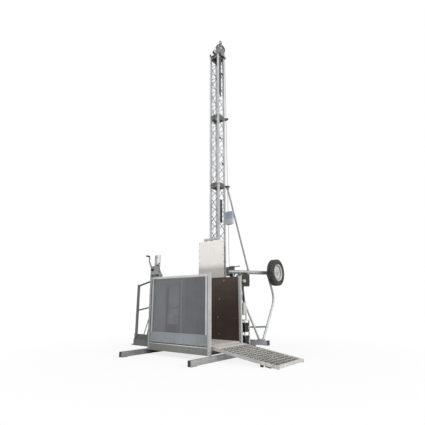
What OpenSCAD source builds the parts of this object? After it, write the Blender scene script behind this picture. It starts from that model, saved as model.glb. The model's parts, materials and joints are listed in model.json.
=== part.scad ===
// Material hoist: a lifting platform with ramp and bridge on a lattice mast, with road wheels folded up.
// Frame: X along the platform, the ramp at the +X end; Y from the platform to the wheels; Z up.
// The origin is on the ground on the mast axis.

/* [Mast] */
// Height of one mast section with its joint plate
section_pitch = 1600; // [1500:10:1650]
// Outer width of the square mast
mast_w = 240; // [230:2:250]
// Side of a mast chord tube
chord = 34; // [30:1:38]
// Wall of a mast chord tube
chord_wall = 4; // [3:0.5:5]
// Diameter of a lacing rod
lacing_d = 12; // [10:1:16]
// Thickness of the joint plates between sections
joint_t = 10; // [8:1:12]

/* [Base] */
// Height of the cross members and rails on the ground
base_h = 90; // [80:1:96]
// Width of the cross members and rails
base_w = 80; // [70:1:90]
// Width of an outrigger beam
outrigger_w = 50; // [40:1:60]
// Height of an outrigger beam, which slides in under the rear beam
outrigger_h = 83; // [70:1:90]
// Distance of the outrigger tips in front of the mast axis
outrigger_reach = 1705; // [1600:5:1800]
// Clear space between a front post and an outrigger
outrigger_gap = 31.5; // [18:0.5:40]
// Wall of the outrigger sleeves
sleeve_wall = 6; // [5:0.5:8]
// Height of the rear beam on the rails
rear_beam_h = 90; // [70:1:100]

/* [Platform] */
// Distance of the post centres along the platform
platform_l = 1364; // [1300:4:1500]
// Distance from the back wall to the front post centres
platform_d = 902; // [850:1:1000]
// Height of the floor surface
floor_z = 229; // [220:1:240]
// Height of the walls above the floor
wall_h = 1121; // [1050:1:1160]
// Side of a front post
front_post = 45; // [40:1:60]
// Side of a rear post
rear_post = 45; // [40:1:50]
// Height of the kick plate above the floor
kick_h = 161; // [120:1:200]
// Thickness of the plywood wall
ply_t = 15; // [12:1:18]
// Radius of the guide rollers
roller_r = 35; // [30:1:36]

/* [Ramp and bridge] */
// Length of the ramp from its hinge
ramp_l = 1160; // [1000:10:1180]
// Number of cross bars of the ramp grating
ramp_bars = 14; // [8:1:16]
// Length of the bridge from its hinge
bridge_l = 455; // [400:5:480]
// Height of the bridge guard above its hinge
guard_h = 1040; // [900:10:1060]
// Diameter of the guard tubes
guard_d = 34; // [26:1:36]

/* [Wheels] */
// Outer diameter of the tyres
tyre_d = 540; // [500:5:560]
// Width of the tyres
tyre_w = 145; // [125:1:165]
// Diameter of the rims
rim_d = 346; // [320:2:360]
// Height of the wheel axle
wheel_z = 1488; // [1470:1:1510]
// Distance of the wheel centre from the mast axis along X
wheel_x = 800; // [780:5:840]
// Distance of the wheel centre from the mast axis along Y
wheel_y = 936; // [900:2:960]
// Diameter of the wheel arms
arm_d = 75; // [65:1:80]

/* [Rope and winch] */
// Diameter of the hoist rope
rope_d = 8; // [6:0.5:9]
// Pitch radius of the front sheave
front_r = 38; // [34:1:42]
// Pitch radius of the rear sheave
rear_r = 110; // [100:1:116]
// Pitch radius of the guide pulley
guide_r = 60; // [50:1:64]
// Pitch radius of the winch drum
drum_r = 60; // [54:1:62]
// Turns of rope left on the drum
drum_turns = 5; // [3:1:6]

/* [Hidden] */
$fn = 48;

// Clearance between a moving piece and what it passes
gap = 0.3;
// Radial running fit of a bore on its pin
fit = 0.05;
// Cut overrun past a face
over = 2;

// Mast levels
foot_t = 12;
mast_z0 = base_h + foot_t;
sections = 4;
mast_half = mast_w / 2;
chord_c = (mast_w - chord) / 2;
chord_in = mast_half - chord;
web_h = 50;
web_t = 6;
lace_end = 80;
lace_vees = 4;
mast_top = mast_z0 + sections * section_pitch - joint_t;
function joint_z(k) = mast_z0 + k * section_pitch - joint_t;

// Platform levels and planes
post_x = platform_l / 2;
wall_back = -222;
wall_front = wall_back - ply_t;
front_y = wall_back - ply_t - platform_d;
skirt_z = 82;
floor_t = 24;
beam_top = floor_z - floor_t;
beam_t = 40;
wall_top = floor_z + wall_h;
post_in_x = post_x - front_post / 2;
beam_end_x = post_x - front_post / 2;
side_x = post_x - rear_post / 2;
kick_top = floor_z + kick_h;
rail_h = 36;
panel_top = wall_top - 14;

// Outriggers
slide_gap = 0.3;
outrigger_x = post_x + front_post / 2 + outrigger_gap + outrigger_w / 2;
sleeve_half = outrigger_w / 2 + slide_gap + sleeve_wall;
sleeve_in_x = outrigger_x - sleeve_half;
outrigger_z = sleeve_wall + slide_gap;
outrigger_top = min(outrigger_z + outrigger_h, base_h - 2 * slide_gap);
sleeve_y0 = -320;
sleeve_y1 = 230;
outrigger_back = 220;
cross_y = 155;
rail_x = 400;
rail_end = 660;
rear_y0 = 545;
rear_y1 = 635;
rear_end_x = outrigger_x - 8;
rear_top = base_h + rear_beam_h;

// Carriage
lift_rope_y = -160;
rail_in_x = mast_half + 25;
rail_w = 40;
rail_back = -162;
rail_z0 = 100;
rail_z1 = 2140;
roller_w = 28;
roller_pin_d = 16;
upper_roller_z = 1750;
lower_roller_z = 450;
upper_roller_y = -mast_half + chord + gap + roller_r;
lower_roller_y = -mast_half - gap - roller_r;
upper_roller_x = mast_half + 6;
anchor_top = 1950;

// Mast head: a frame that starts at the lift rope and runs along the line to the rear rope
rear_rope = [130, 124];
head_run = [rear_rope.x, rear_rope.y - lift_rope_y];
head_l = norm(head_run);
head_a = atan2(head_run.x, head_run.y);
head_plate_t = 12;
head_z = mast_top + head_plate_t;
front_s = front_r;
front_z = head_z + 56;
rear_s = head_l - rear_r;
rear_z = head_z + 217;
sheave_w = 24;
cheek_gap = 2;
cheek_t = 8;
pin_d = 24;
rope_r = rope_d / 2;
top_dist = norm([rear_s - front_s, rear_z - front_z]);
top_a = atan2(rear_z - front_z, rear_s - front_s) + acos((front_r - rear_r) / top_dist);

// Trailer arms: a frame that starts at the mast corner and runs along the right arm
arm_root = [mast_half + 10, mast_half + 10];
arm_tip = [wheel_x - 140, wheel_y];
arm_run = arm_tip - arm_root;
arm_a = atan2(arm_run.x, arm_run.y);
arm_l = norm(arm_run);
function on_arm(s, z) = [arm_root.x + s * arm_run.x / arm_l, arm_root.y + s * arm_run.y / arm_l, z];

// Winch hung under the right arm
rope_t = -62;
drum_s = 350;
drum_z = 1330;
housing_s = 85;
housing_z0 = 1200;
housing_top = wheel_z - arm_d / 2 - 10;
housing_t0 = 24;
housing_t1 = 124;
motor_s = drum_s - 46;
motor_z = drum_z - 30;
plate_t = 8;
shaft_d = 30;
drum_pitch = rope_d + 1;
drum_t0 = rope_t - (drum_turns + 1) * drum_pitch - rope_r - 1;
drum_t1 = 18;
drum_flange = drum_r + 20;
guide_s = 76 + guide_r;
guide_z = drum_z + drum_r + guide_r;
lever_s = 150;
lever_z = 1590;
fall_end = [on_arm(76, 0).x + rope_t * cos(arm_a), on_arm(76, 0).y - rope_t * sin(arm_a), guide_z];
fall_start = [rear_rope.x, rear_rope.y, rear_z];
function rope_at(z) = fall_start + (fall_end - fall_start) * (fall_start.z - z) / (fall_start.z - fall_end.z);

// Ramp and bridge hinges
hinge_x = post_x + 18;
ramp_z = floor_z - 29;
bridge_z = floor_z + 6;
hinge_d = 16;
sleeve_d = 30;
hinge_y0 = front_y + front_post / 2 + 14;
hinge_y1 = wall_back - rear_post - 14;
ramp_low = 30;
ramp_high = 15;
ramp_a = asin((ramp_z - 0.5) / norm([ramp_l, ramp_low])) - atan2(ramp_low, ramp_l);
guard_y0 = hinge_y0 + 2 + guard_d / 2;
guard_y1 = hinge_y1 - 2 - guard_d / 2;

// Hand winch
crank_x = -post_x + 52;
crank_z = wall_top + 120;
winch_y0 = front_y - 38;
winch_y1 = front_y + 38;
crank_pin_d = 20;

// Steel pieces helpers
module box(lo, hi) {
  translate(lo) cube(hi - lo);
}

module rod(p, q, d) {
  v = q - p;
  translate(p) rotate([0, acos(v.z / norm(v)), atan2(v.y, v.x)]) cylinder(h = norm(v), d = d);
}

module tube(p, q, d, wall) {
  e = (q - p) / norm(q - p) * over;
  difference() {
    rod(p, q, d);
    rod(p - e, q + e, d - 2 * wall);
  }
}

// Box tube along X
module tube_x(lo, hi, wall) {
  difference() {
    box(lo, hi);
    box([lo.x - over, lo.y + wall, lo.z + wall], [hi.x + over, hi.y - wall, hi.z - wall]);
  }
}

// Box tube along Y
module tube_y(lo, hi, wall) {
  difference() {
    box(lo, hi);
    box([lo.x + wall, lo.y - over, lo.z + wall], [hi.x - wall, hi.y + over, hi.z - wall]);
  }
}

// Box tube along Z
module tube_z(lo, hi, wall) {
  difference() {
    box(lo, hi);
    box([lo.x + wall, lo.y + wall, lo.z - over], [hi.x - wall, hi.y - wall, hi.z + over]);
  }
}

// Puts children in the frame of the mast head: X along the sheave axles, Y along the rope plane
module head_frame() {
  translate([0, lift_rope_y, 0]) rotate([0, 0, -head_a]) children();
}

// Puts children in the frame of the right arm: X across the arm, Y along it
module arm_frame() {
  translate([arm_root.x, arm_root.y, 0]) rotate([0, 0, -arm_a]) children();
}

// Turns a shape drawn round Z so that its axis lies along X and its X axis along Y
module axis_x() {
  rotate([90, 0, 90]) children();
}

// Draws children for both sides of the mast
module both_sides() {
  children();
  mirror([1, 0, 0]) children();
}

// Grooved wheel for the rope, drawn round Z, with round openings in its web
module sheave(r, bore, holes) {
  rim = r + 8;
  difference() {
    rotate_extrude() difference() {
      union() {
        translate([bore / 2 + fit, -sheave_w / 2]) square([14, sheave_w]);
        translate([bore / 2 + fit, -5]) square([rim - bore / 2 - 4, 10]);
        translate([r - 12, -sheave_w / 2]) square([20, sheave_w]);
      }
      translate([r, 0]) circle(r = rope_r + gap);
      translate([r, -rope_r - gap]) square([20, rope_d + 2 * gap]);
    }
    if (holes > 0) {
      web_mid = (bore / 2 + 14 + r - 12) / 2;
      web_free = r - 12 - bore / 2 - 14;
      for (k = [0 : holes - 1])
        rotate([0, 0, k * 360 / holes]) translate([web_mid, 0, -sheave_w])
          cylinder(h = 2 * sheave_w, d = web_free * 0.8);
    }
  }
}

// Base

module base_frame() {
  color([0.6, 0.62, 0.63]) {
    for (sy = [-1, 1]) {
      y0 = sy > 0 ? cross_y - base_w : -cross_y;
      tube_x([-sleeve_in_x, y0, 0], [sleeve_in_x, y0 + base_w, base_h], 5);
    }
    box([-mast_half, -cross_y + base_w, 0], [mast_half, cross_y - base_w, 10]);
    difference() {
      box([-mast_half - 30, -cross_y, base_h], [mast_half + 30, cross_y, mast_z0]);
      cylinder(h = 400, d = 120, center = true);
    }
    for (sx = [-1, 1])
      box([sx * (rail_in_x + rail_w / 2) - 32, wall_back - 6, 0],
        [sx * (rail_in_x + rail_w / 2) + 32, -cross_y, 10]);
  }
}

module outrigger_sleeves() {
  color([0.55, 0.57, 0.58])
  both_sides()
    tube_y([outrigger_x - sleeve_half, sleeve_y0, 0],
      [outrigger_x + sleeve_half, sleeve_y1, outrigger_top + slide_gap + sleeve_wall], sleeve_wall);
}

module base_rails() {
  color([0.6, 0.62, 0.63])
  both_sides()
    tube_y([rail_x - base_w / 2, cross_y, 0], [rail_x + base_w / 2, rail_end, base_h], 5);
}

module rear_beam() {
  cap = 8;
  color([0.58, 0.6, 0.61])
    tube_x([-rear_end_x, rear_y0, base_h], [rear_end_x, rear_y1, rear_top], 5);
  color([0.08, 0.08, 0.08])
  both_sides()
    box([rear_end_x + gap / 2, rear_y0, base_h], [rear_end_x + cap, rear_y1, rear_top]);
}

module landing_buffers() {
  color([0.07, 0.07, 0.07])
  both_sides()
    translate([rail_in_x + rail_w / 2, (wall_back + rail_back) / 2, 10])
      cylinder(h = rail_z0 - 10 - gap, d = 44);
}

// Outrigger beam on the right with its foot and plug
module outrigger() {
  cap = 8;
  foot = 110;
  x0 = outrigger_x - outrigger_w / 2;
  x1 = outrigger_x + outrigger_w / 2;
  color([0.66, 0.68, 0.69]) {
    tube_y([x0, -outrigger_reach + cap, outrigger_z],
      [x1, outrigger_back, outrigger_top], 4);
    box([x0 - 8, -outrigger_reach + 30, 0], [x1 + 8, -outrigger_reach + 30 + foot, outrigger_z]);
  }
  color([0.08, 0.08, 0.08])
    box([x0, -outrigger_reach, outrigger_z],
      [x1, -outrigger_reach + cap - gap / 2, outrigger_top]);
}

module left_outrigger() {
  mirror([1, 0, 0]) outrigger();
}

module right_outrigger() {
  outrigger();
}

// Mast

module mast_section(k) {
  len = section_pitch - joint_t;
  hollow = chord - 2 * chord_wall;
  half_v = (len - 2 * lace_end) / lace_vees / 2;
  color([0.62, 0.64, 0.66])
  translate([0, 0, mast_z0 + k * section_pitch])
  difference() {
    union() {
      for (sx = [-1, 1], sy = [-1, 1])
        translate([sx * chord_c - chord / 2, sy * chord_c - chord / 2, 0]) cube([chord, chord, len]);
      for (f = [0 : 3], v = [0 : lace_vees - 1]) {
        z0 = lace_end + 2 * v * half_v;
        rotate([0, 0, 90 * f]) {
          rod([-chord_c, -chord_c, z0], [chord_c, -chord_c, z0 + half_v], lacing_d, $fn = 8);
          rod([chord_c, -chord_c, z0 + half_v], [-chord_c, -chord_c, z0 + 2 * half_v], lacing_d, $fn = 8);
        }
      }
    }
    for (sx = [-1, 1], sy = [-1, 1])
      translate([sx * chord_c - hollow / 2, sy * chord_c - hollow / 2, -over])
        cube([hollow, hollow, len + 2 * over]);
  }
}

module mast_section_1() {
  mast_section(0);
}

module mast_section_2() {
  mast_section(1);
}

module mast_section_3() {
  mast_section(2);
}

module mast_section_4() {
  mast_section(3);
}

// Four web plates between the chords round a joint
module joint_webs(z0, z1) {
  for (f = [0 : 3])
    rotate([0, 0, 90 * f])
      box([-chord_in, -chord_c - web_t / 2, z0], [chord_in, -chord_c + web_t / 2, z1]);
}

// Outline of a joint plate, with or without the rear ears that guide the rope
module joint_outline(ears, ear_y) {
  ear_x = rear_rope.x + 68;
  difference() {
    union() {
      for (sx = [-1, 1], sy = [-1, 1])
        translate([sx * chord_c, sy * chord_c]) square(chord, center = true);
      square(2 * chord_c + 12, center = true);
      if (ears)
        polygon([[-mast_half, chord_in], [mast_half, chord_in], [ear_x, mast_half + 6], [ear_x, ear_y - 40],
          [ear_x - 40, ear_y], [rear_rope.x - 50, ear_y], [60, mast_half + 14], [-60, mast_half + 14],
          [50 - rear_rope.x, ear_y], [40 - ear_x, ear_y], [-ear_x, ear_y - 40], [-ear_x, mast_half + 6]]);
    }
    square(2 * chord_in, center = true);
  }
}

module mast_collars() {
  tie_d = 17;
  color([0.28, 0.28, 0.24])
  for (k = [1 : 3]) {
    z = joint_z(k);
    rope = rope_at(z);
    ears = k > 1;
    translate([0, 0, z])
      linear_extrude(joint_t) difference() {
        joint_outline(ears, rope.y + 34);
        if (ears) {
          translate([rope.x, rope.y]) circle(d = rope_d + 18);
          for (sx = [-1, 1]) translate([sx * 170, mast_half + 20]) circle(d = tie_d);
        }
      }
    joint_webs(z - web_h, z);
    joint_webs(z + joint_t, z + joint_t + web_h);
    if (ears)
      for (sx = [-1, 1])
        translate([sx * (chord_in + 12), mast_half, z]) rotate([90, 0, -90])
          linear_extrude(6, center = true) polygon([[0, 0], [0, -110], [-30, 0]]);
    if (k == 2) both_sides() stay_lug();
  }
}

// Square boss under the second collar that takes the top of a stay
stay_foot = on_arm(480, wheel_z);
stay_top = [142, 152, joint_z(2) + joint_t / 2];
stay_dir = (stay_top - stay_foot) / norm(stay_top - stay_foot);
stay_boss = 70;
module stay_lug() {
  difference() {
    translate(stay_top - stay_boss * stay_dir)
      rotate([0, acos(stay_dir.z), atan2(stay_dir.y, stay_dir.x)])
        translate([-20, -20, 0]) cube([40, 40, stay_boss + 20]);
    box([0, 0, joint_z(2) + joint_t / 2], [400, 400, joint_z(2) + 100]);
  }
}

module mast_stays() {
  color([0.6, 0.62, 0.63])
  both_sides()
    tube(stay_foot + 75 * stay_dir, stay_top - stay_boss * stay_dir, 36, 3);
}

// Cheek of the mast head in the rope plane, drawn in Y and Z
module head_cheek() {
  difference() {
    union() {
      polygon([[70, head_z - 4], [292, head_z - 4], [rear_s + 60, rear_z + 10], [rear_s - 50, rear_z + 40],
        [front_s + 20, front_z + 60], [front_s - 24, front_z], [48, head_z + 8]]);
      translate([rear_s, rear_z]) circle(r = 46);
      translate([front_s, front_z]) circle(r = 28);
    }
    translate([rear_s, rear_z]) circle(d = pin_d + 0.2);
    translate([front_s, front_z]) circle(d = pin_d + 0.2);
    translate([(rear_s + 90) / 2 + 30, head_z + 70]) circle(d = 46);
  }
}

module mast_head() {
  cheek_x = sheave_w / 2 + cheek_gap;
  eye_z = rear_z + rear_r + 74;
  rope = rope_at(mast_top + head_plate_t / 2);
  color([0.5, 0.5, 0.46]) {
    translate([0, 0, mast_top]) linear_extrude(head_plate_t) difference() {
      union() {
        square([mast_w + 20, mast_w], center = true);
        polygon([[60, 0], [158, 40], [158, 140], [130, 154], [60, 154]]);
      }
      translate([rope.x, rope.y]) circle(d = rope_d + 18);
    }
    joint_webs(mast_top - web_h - 30, mast_top);
    box([-mast_half - 6, -mast_half, mast_top], [-mast_half + 16, -mast_half + 30, head_z + 62]);
    translate([-mast_half + 5, -mast_half + 15, head_z + 60]) cylinder(h = 34, d = 16);
    head_frame() {
      for (sx = [-1, 1])
        translate([sx * (cheek_x + cheek_t / 2) - cheek_t / 2, 0, 0])
          axis_x() linear_extrude(cheek_t) head_cheek();
      difference() {
        for (sx = [-1, 1])
          translate([sx * (cheek_x + cheek_t / 2) - cheek_t / 2, rear_s - 22, rear_z - 30])
            cube([cheek_t, 44, rear_r + 70]);
        translate([0, rear_s, rear_z]) axis_x() cylinder(h = 200, d = pin_d + 0.2, center = true);
      }
      translate([-cheek_x - cheek_t, rear_s - 22, rear_z + rear_r + 30])
        cube([2 * (cheek_x + cheek_t), 44, 12]);
      translate([0, rear_s, eye_z]) axis_x() rotate_extrude()
        polygon([[20, -8], [31, -8], [36, -4], [36, 4], [31, 8], [20, 8]]);
    }
  }
}

module pulley_pins() {
  long = sheave_w + 2 * cheek_gap + 2 * cheek_t + 12;
  color([0.7, 0.7, 0.68]) {
    head_frame() {
      translate([0, rear_s, rear_z]) axis_x() cylinder(h = long, d = pin_d, center = true);
      translate([0, front_s, front_z]) axis_x() cylinder(h = long, d = pin_d, center = true);
    }
    arm_frame() translate([rope_t, guide_s, guide_z]) axis_x()
      cylinder(h = long, d = pin_d, center = true);
  }
}

module front_sheave() {
  color([0.35, 0.36, 0.36])
    head_frame() translate([0, front_s, front_z]) axis_x() sheave(front_r, pin_d, 0);
}

module rear_sheave() {
  color([0.3, 0.31, 0.31])
    head_frame() translate([0, rear_s, rear_z]) axis_x() sheave(rear_r, pin_d, 3);
}

module guide_pulley() {
  color([0.3, 0.31, 0.31])
    arm_frame() translate([rope_t, guide_s, guide_z]) axis_x() sheave(guide_r, pin_d, 0);
}

module switch_box() {
  z0 = 2462;
  color([0.5, 0.56, 0.62]) {
    box([chord_in + 24, mast_half, z0], [272, 188, z0 + 262]);
    box([chord_in + 30, mast_half + 12, z0 + 262], [266, 182, z0 + 272]);
    for (x = [150, 190, 230])
      translate([x, 155, z0 - 18]) cylinder(h = 18, d = 22);
  }
}

module limit_cam() {
  color([0.06, 0.06, 0.06])
    box([chord_c - lacing_d / 2 - 8, -38, 2480], [chord_c - lacing_d / 2 - gap, 30, 2980]);
}

// Channel for the cables inside the top section, open towards the left
module cable_channel() {
  x1 = chord_c - lacing_d / 2 - gap;
  t = 3;
  color([0.36, 0.39, 0.43])
    difference() {
      box([x1 - 40, -60, mast_top - 1042], [x1, 20, mast_top - 90]);
      box([x1 - 40 - over, -60 + t, mast_top - 1042 - over], [x1 - t, 20 - t, mast_top - 90 + over]);
    }
}

// Rope

// Route of the static rope: over the two sheaves, down to the guide pulley and on to the drum top
rope_sides = 8;
rope_step = 6;
function head_point(s, z) = [s * sin(head_a), lift_rope_y + s * cos(head_a), z];
function winch_point(s, z) = on_arm(s, z) + rope_t * [cos(arm_a), -sin(arm_a), 0];
function arc_angles(a0, a1) = let (n = ceil(abs(a1 - a0) / rope_step)) [for (k = [0 : n]) a0 + (a1 - a0) * k / n];
rope_route = concat(
  [for (a = arc_angles(180, top_a)) head_point(front_s + front_r * cos(a), front_z + front_r * sin(a))],
  [for (a = arc_angles(top_a, 0)) head_point(rear_s + rear_r * cos(a), rear_z + rear_r * sin(a))],
  [for (a = arc_angles(180, 270)) winch_point(guide_s + guide_r * cos(a), guide_z + guide_r * sin(a))],
  [for (a = arc_angles(90, -60)) winch_point(drum_s + drum_r * cos(a), drum_z + drum_r * sin(a))]);
rope_last = len(rope_route) - 1;

// Ring of points round the rope at one place of its route, square to the route
function unit(v) = v / norm(v);
function rope_dir(i) = unit(rope_route[min(i + 1, rope_last)] - rope_route[max(i - 1, 0)]);
function rope_across(i) = i <= rope_split ? [cos(head_a), -sin(head_a), 0] : [cos(arm_a), -sin(arm_a), 0];
function rope_ring(i) = let (t = rope_dir(i), u = unit(cross(t, cross(rope_across(i), t))))
  [for (j = [0 : rope_sides - 1]) let (b = (j + 0.5) * 360 / rope_sides)
    rope_route[i] + rope_r * (cos(b) * u + sin(b) * cross(t, u))];
rope_split = len(arc_angles(180, top_a)) + len(arc_angles(top_a, 0)) - 1;
rope_faces = concat(
  [[for (j = [rope_sides - 1 : -1 : 0]) j]],
  [for (i = [0 : rope_last - 1], j = [0 : rope_sides - 1])
    let (k = (j + 1) % rope_sides, a = i * rope_sides, b = a + rope_sides)
    each [[a + j, a + k, b + k], [a + j, b + k, b + j]]],
  [[for (j = [0 : rope_sides - 1]) rope_last * rope_sides + j]]);

module hoist_rope_run() {
  color([0.42, 0.43, 0.44])
    polyhedron(points = [for (i = [0 : rope_last]) each rope_ring(i)], faces = rope_faces);
}

module hoist_rope_fall() {
  color([0.42, 0.43, 0.44])
    rod([0, lift_rope_y, anchor_top], [0, lift_rope_y, front_z], rope_d);
}

// Turns of rope on the drum: one tube wound along the drum with a straight end at each side
wind_rings = 24;
wind_sides = 6;
wind_n = drum_turns * wind_rings;
wind_t0 = rope_t - drum_pitch;
wind_slip = drum_pitch / (360 * drum_r * PI / 180);
function wind_angle(i) = -60 - i * 360 / wind_rings;
function wind_centre(i) = let (a = wind_angle(min(max(i, 0), wind_n)),
    e = i < 0 ? -rope_d : (i > wind_n ? rope_d : 0))
  [wind_t0 - drum_pitch * min(max(i, 0), wind_n) / wind_rings - e * wind_slip,
    drum_r * cos(a) + e * sin(a), drum_r * sin(a) - e * cos(a)];
function wind_ring(i) = let (a = wind_angle(min(max(i, 0), wind_n)), c = wind_centre(i))
  [for (j = [0 : wind_sides - 1]) let (b = j * 360 / wind_sides)
    c + rope_r * [sin(b), cos(b) * cos(a), cos(b) * sin(a)]];
wind_points = [for (i = [-1 : wind_n + 1]) each wind_ring(i)];
wind_last = wind_n + 2;
wind_faces = concat(
  [[for (j = [0 : wind_sides - 1]) j]],
  [for (i = [0 : wind_last - 1], j = [0 : wind_sides - 1])
    let (k = (j + 1) % wind_sides)
    [i * wind_sides + j, (i + 1) * wind_sides + j, (i + 1) * wind_sides + k, i * wind_sides + k]],
  [[for (j = [wind_sides - 1 : -1 : 0]) wind_last * wind_sides + j]]);
wind_gap = min([for (i = [-1 : wind_n + 1], k = [i + 12 : 1 : wind_n + 1])
  norm(wind_centre(i) - wind_centre(k))]) - rope_d;

module drum_rope() {
  echo(wind_gap = wind_gap);
  color([0.45, 0.46, 0.47])
    arm_frame() translate([0, drum_s, drum_z])
      polyhedron(points = wind_points, faces = wind_faces);
}

// Trailer gear

// Boss on the arm that takes the foot of a tube
module arm_boss(p, dir, long, d) {
  rod(p, p + long * dir, d);
}

strut_top = on_arm(110, wheel_z);
strut_foot = [565, (rear_y0 + rear_y1) / 2, rear_top - 10];
strut_dir = (strut_foot - strut_top) / norm(strut_foot - strut_top);
strut_d = 40;
brace_z = 420;
brace_d = 28;
function strut_at(z) = strut_top + (strut_foot - strut_top) * (strut_top.z - z) / (strut_top.z - strut_foot.z);
bow_x = 640;
bow_top = [wheel_y - 41, wheel_z - 67];
bow_bend = [wheel_y + 194, 960];
bow_foot = [(rear_y0 + rear_y1) / 2, rear_top - 10];
bow_in = (bow_bend - bow_top) / norm(bow_bend - bow_top);
bow_out = (bow_foot - bow_bend) / norm(bow_foot - bow_bend);
bow_turn = acos(bow_in * bow_out);
bow_r = 300;
bow_cut = bow_r * tan(bow_turn / 2);
bow_d = 45;

module wheel_arm() {
  axle_d = 40;
  difference() {
    tube(on_arm(-50, wheel_z), [arm_tip.x, arm_tip.y, wheel_z], arm_d, 5);
    box([0, 0, wheel_z - 100], [400, mast_half + 5, wheel_z + 100]);
  }
  box([chord_in - 15, mast_half, wheel_z - 90], [mast_half + 60, mast_half + 10, wheel_z + 90]);
  rod([wheel_x - 200, wheel_y, wheel_z], [wheel_x - tyre_w / 2 - 12, wheel_y, wheel_z], 70);
  rod([wheel_x - 140, wheel_y, wheel_z], [wheel_x + 62, wheel_y, wheel_z], axle_d);
  arm_boss(strut_top, strut_dir, 75, 46);
  arm_boss(stay_foot, stay_dir, 75, 42);
  bow_axis = [0, bow_in.x, bow_in.y];
  arm_boss([bow_x, bow_top.x, bow_top.y], -bow_axis, 70, 52);
}

module wheel_arms() {
  color([0.62, 0.64, 0.65])
    both_sides() wheel_arm();
}

// Bowed tube in the plane of Y and Z
module bow(d, long) {
  start = bow_bend - bow_cut * bow_in;
  side = [bow_in.y, -bow_in.x];
  centre = start + bow_r * side;
  a0 = atan2(-side.y, -side.x);
  p0 = bow_top - long * bow_in;
  p1 = bow_bend + bow_cut * bow_out;
  p2 = bow_foot + long * bow_out;
  q0 = start + 8 * bow_in;
  q1 = p1 - 8 * bow_out;
  rod([bow_x, p0.x, p0.y], [bow_x, q0.x, q0.y], d);
  translate([bow_x, centre.x, centre.y]) axis_x() rotate([0, 0, a0 - bow_turn])
    rotate_extrude(angle = bow_turn) translate([bow_r, 0]) circle(d = d + 2);
  rod([bow_x, q1.x, q1.y], [bow_x, p2.x, p2.y], d);
}

module bow_tube(brace) {
  brace_f = (brace_z - bow_foot.y) / (bow_bend.y - bow_foot.y);
  brace_y = bow_foot.x + brace_f * (bow_bend.x - bow_foot.x);
  difference() {
    union() {
      bow(bow_d, 0);
      if (brace) rod([bow_x, brace_y, brace_z], strut_at(brace_z), brace_d);
    }
    bow(bow_d - 7, over);
    box([0, 0, -100], [900, 900, rear_top + 5]);
    rod(strut_top, strut_foot, strut_d + 2 * gap);
  }
  box([bow_x - 34, rear_y0 + 4, rear_top], [bow_x + 34, rear_y1 - 4, rear_top + 10]);
}

module bow_tubes() {
  color([0.6, 0.62, 0.63]) {
    bow_tube(true);
    mirror([1, 0, 0]) bow_tube(false);
  }
}

module rear_struts() {
  color([0.6, 0.62, 0.63])
  both_sides() {
    difference() {
      tube(strut_top + 75 * strut_dir, strut_foot + 40 * strut_dir, strut_d, 3.5);
      box([0, 0, -100], [900, 900, rear_top + 5]);
    }
    box([strut_foot.x - 34, rear_y0 + 4, rear_top], [strut_foot.x + 34, rear_y1 - 4, rear_top + 10]);
  }
}

// Tyre outline from the bead up the side wall to the middle of the tread, in radius and half width
tyre_r0 = rim_d / 2 - 12;
tyre_r1 = tyre_d / 2;
tyre_half = [[tyre_r0, tyre_w / 2 - 21], [tyre_r0 + 12, tyre_w / 2 - 19], [tyre_r0 + 16, tyre_w / 2 - 9],
  [(tyre_r0 + tyre_r1) / 2 - 6, tyre_w / 2], [(tyre_r0 + tyre_r1) / 2 + 14, tyre_w / 2],
  [tyre_r1 - 20, tyre_w / 2 - 7], [tyre_r1 - 6, tyre_w / 2 - 18], [tyre_r1 - 2, tyre_w / 2 - 30],
  [tyre_r1 - 9, tyre_w / 2 - 31], [tyre_r1 - 9, tyre_w / 2 - 37], [tyre_r1 - 1, tyre_w / 2 - 38],
  [tyre_r1, 12], [tyre_r1 - 9, 11], [tyre_r1 - 9, 5], [tyre_r1, 4]];
tyre_n = len(tyre_half);

module tyre(x) {
  color([0.16, 0.16, 0.15])
  translate([x, wheel_y, wheel_z]) axis_x()
    rotate_extrude()
      polygon(concat(tyre_half, [for (i = [tyre_n - 1 : -1 : 0]) [tyre_half[i].x, -tyre_half[i].y]]));
}

// Rim with a dished disc, five round openings and wheel bolts, its hub bored for the axle
module rim(x, side) {
  axle_d = 40;
  seat = rim_d / 2 - 12 - gap;
  w = tyre_w / 2;
  color([0.75, 0.75, 0.73])
  translate([x, wheel_y, wheel_z]) axis_x() scale([1, 1, side]) {
    difference() {
      rotate_extrude()
        polygon([[axle_d / 2 + fit, -w + 8], [40, -w + 8], [40, 18], [66, 30], [110, 30], [seat - 8, 6],
          [seat - 8, -w + 22], [seat + 10, -w + 12], [seat + 10, -w + 17], [seat, -w + 20], [seat, w - 20],
          [seat + 10, w - 17], [seat + 10, w - 12], [seat - 8, w - 22], [seat - 8, 14],
          [112, 38], [64, 38], [44, 30], [axle_d / 2 + fit, 30]]);
      for (k = [0 : 4])
        rotate([0, 0, 72 * k]) translate([(112 + seat) / 2, 0, -w]) cylinder(h = 2 * w, d = 30);
    }
    for (k = [0 : 3])
      rotate([0, 0, 90 * k + 20]) translate([56, 0, 32]) cylinder(h = 16, d = 20, $fn = 6);
  }
}

module left_rim() {
  rim(-wheel_x, -1);
}

module right_rim() {
  rim(wheel_x, 1);
}

module left_tyre() {
  tyre(-wheel_x);
}

module right_tyre() {
  tyre(wheel_x);
}

// Winch

module winch_housing() {
  color([0.27, 0.28, 0.25])
  arm_frame() difference() {
    union() {
      box([housing_t0, drum_s - housing_s, housing_z0], [housing_t1, drum_s + housing_s, housing_top]);
      for (z = [housing_z0 + 40 : 40 : housing_top - 40])
        box([housing_t1, drum_s - housing_s + 6, z], [housing_t1 + 10, drum_s + housing_s - 6, z + 8]);
    }
    translate([housing_t0 - over, drum_s, drum_z]) axis_x() cylinder(h = 26 + over, d = shaft_d + 2 * fit);
    translate([housing_t1 - 1, motor_s, motor_z]) axis_x() cylinder(h = 40, d = 72);
  }
}

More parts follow.
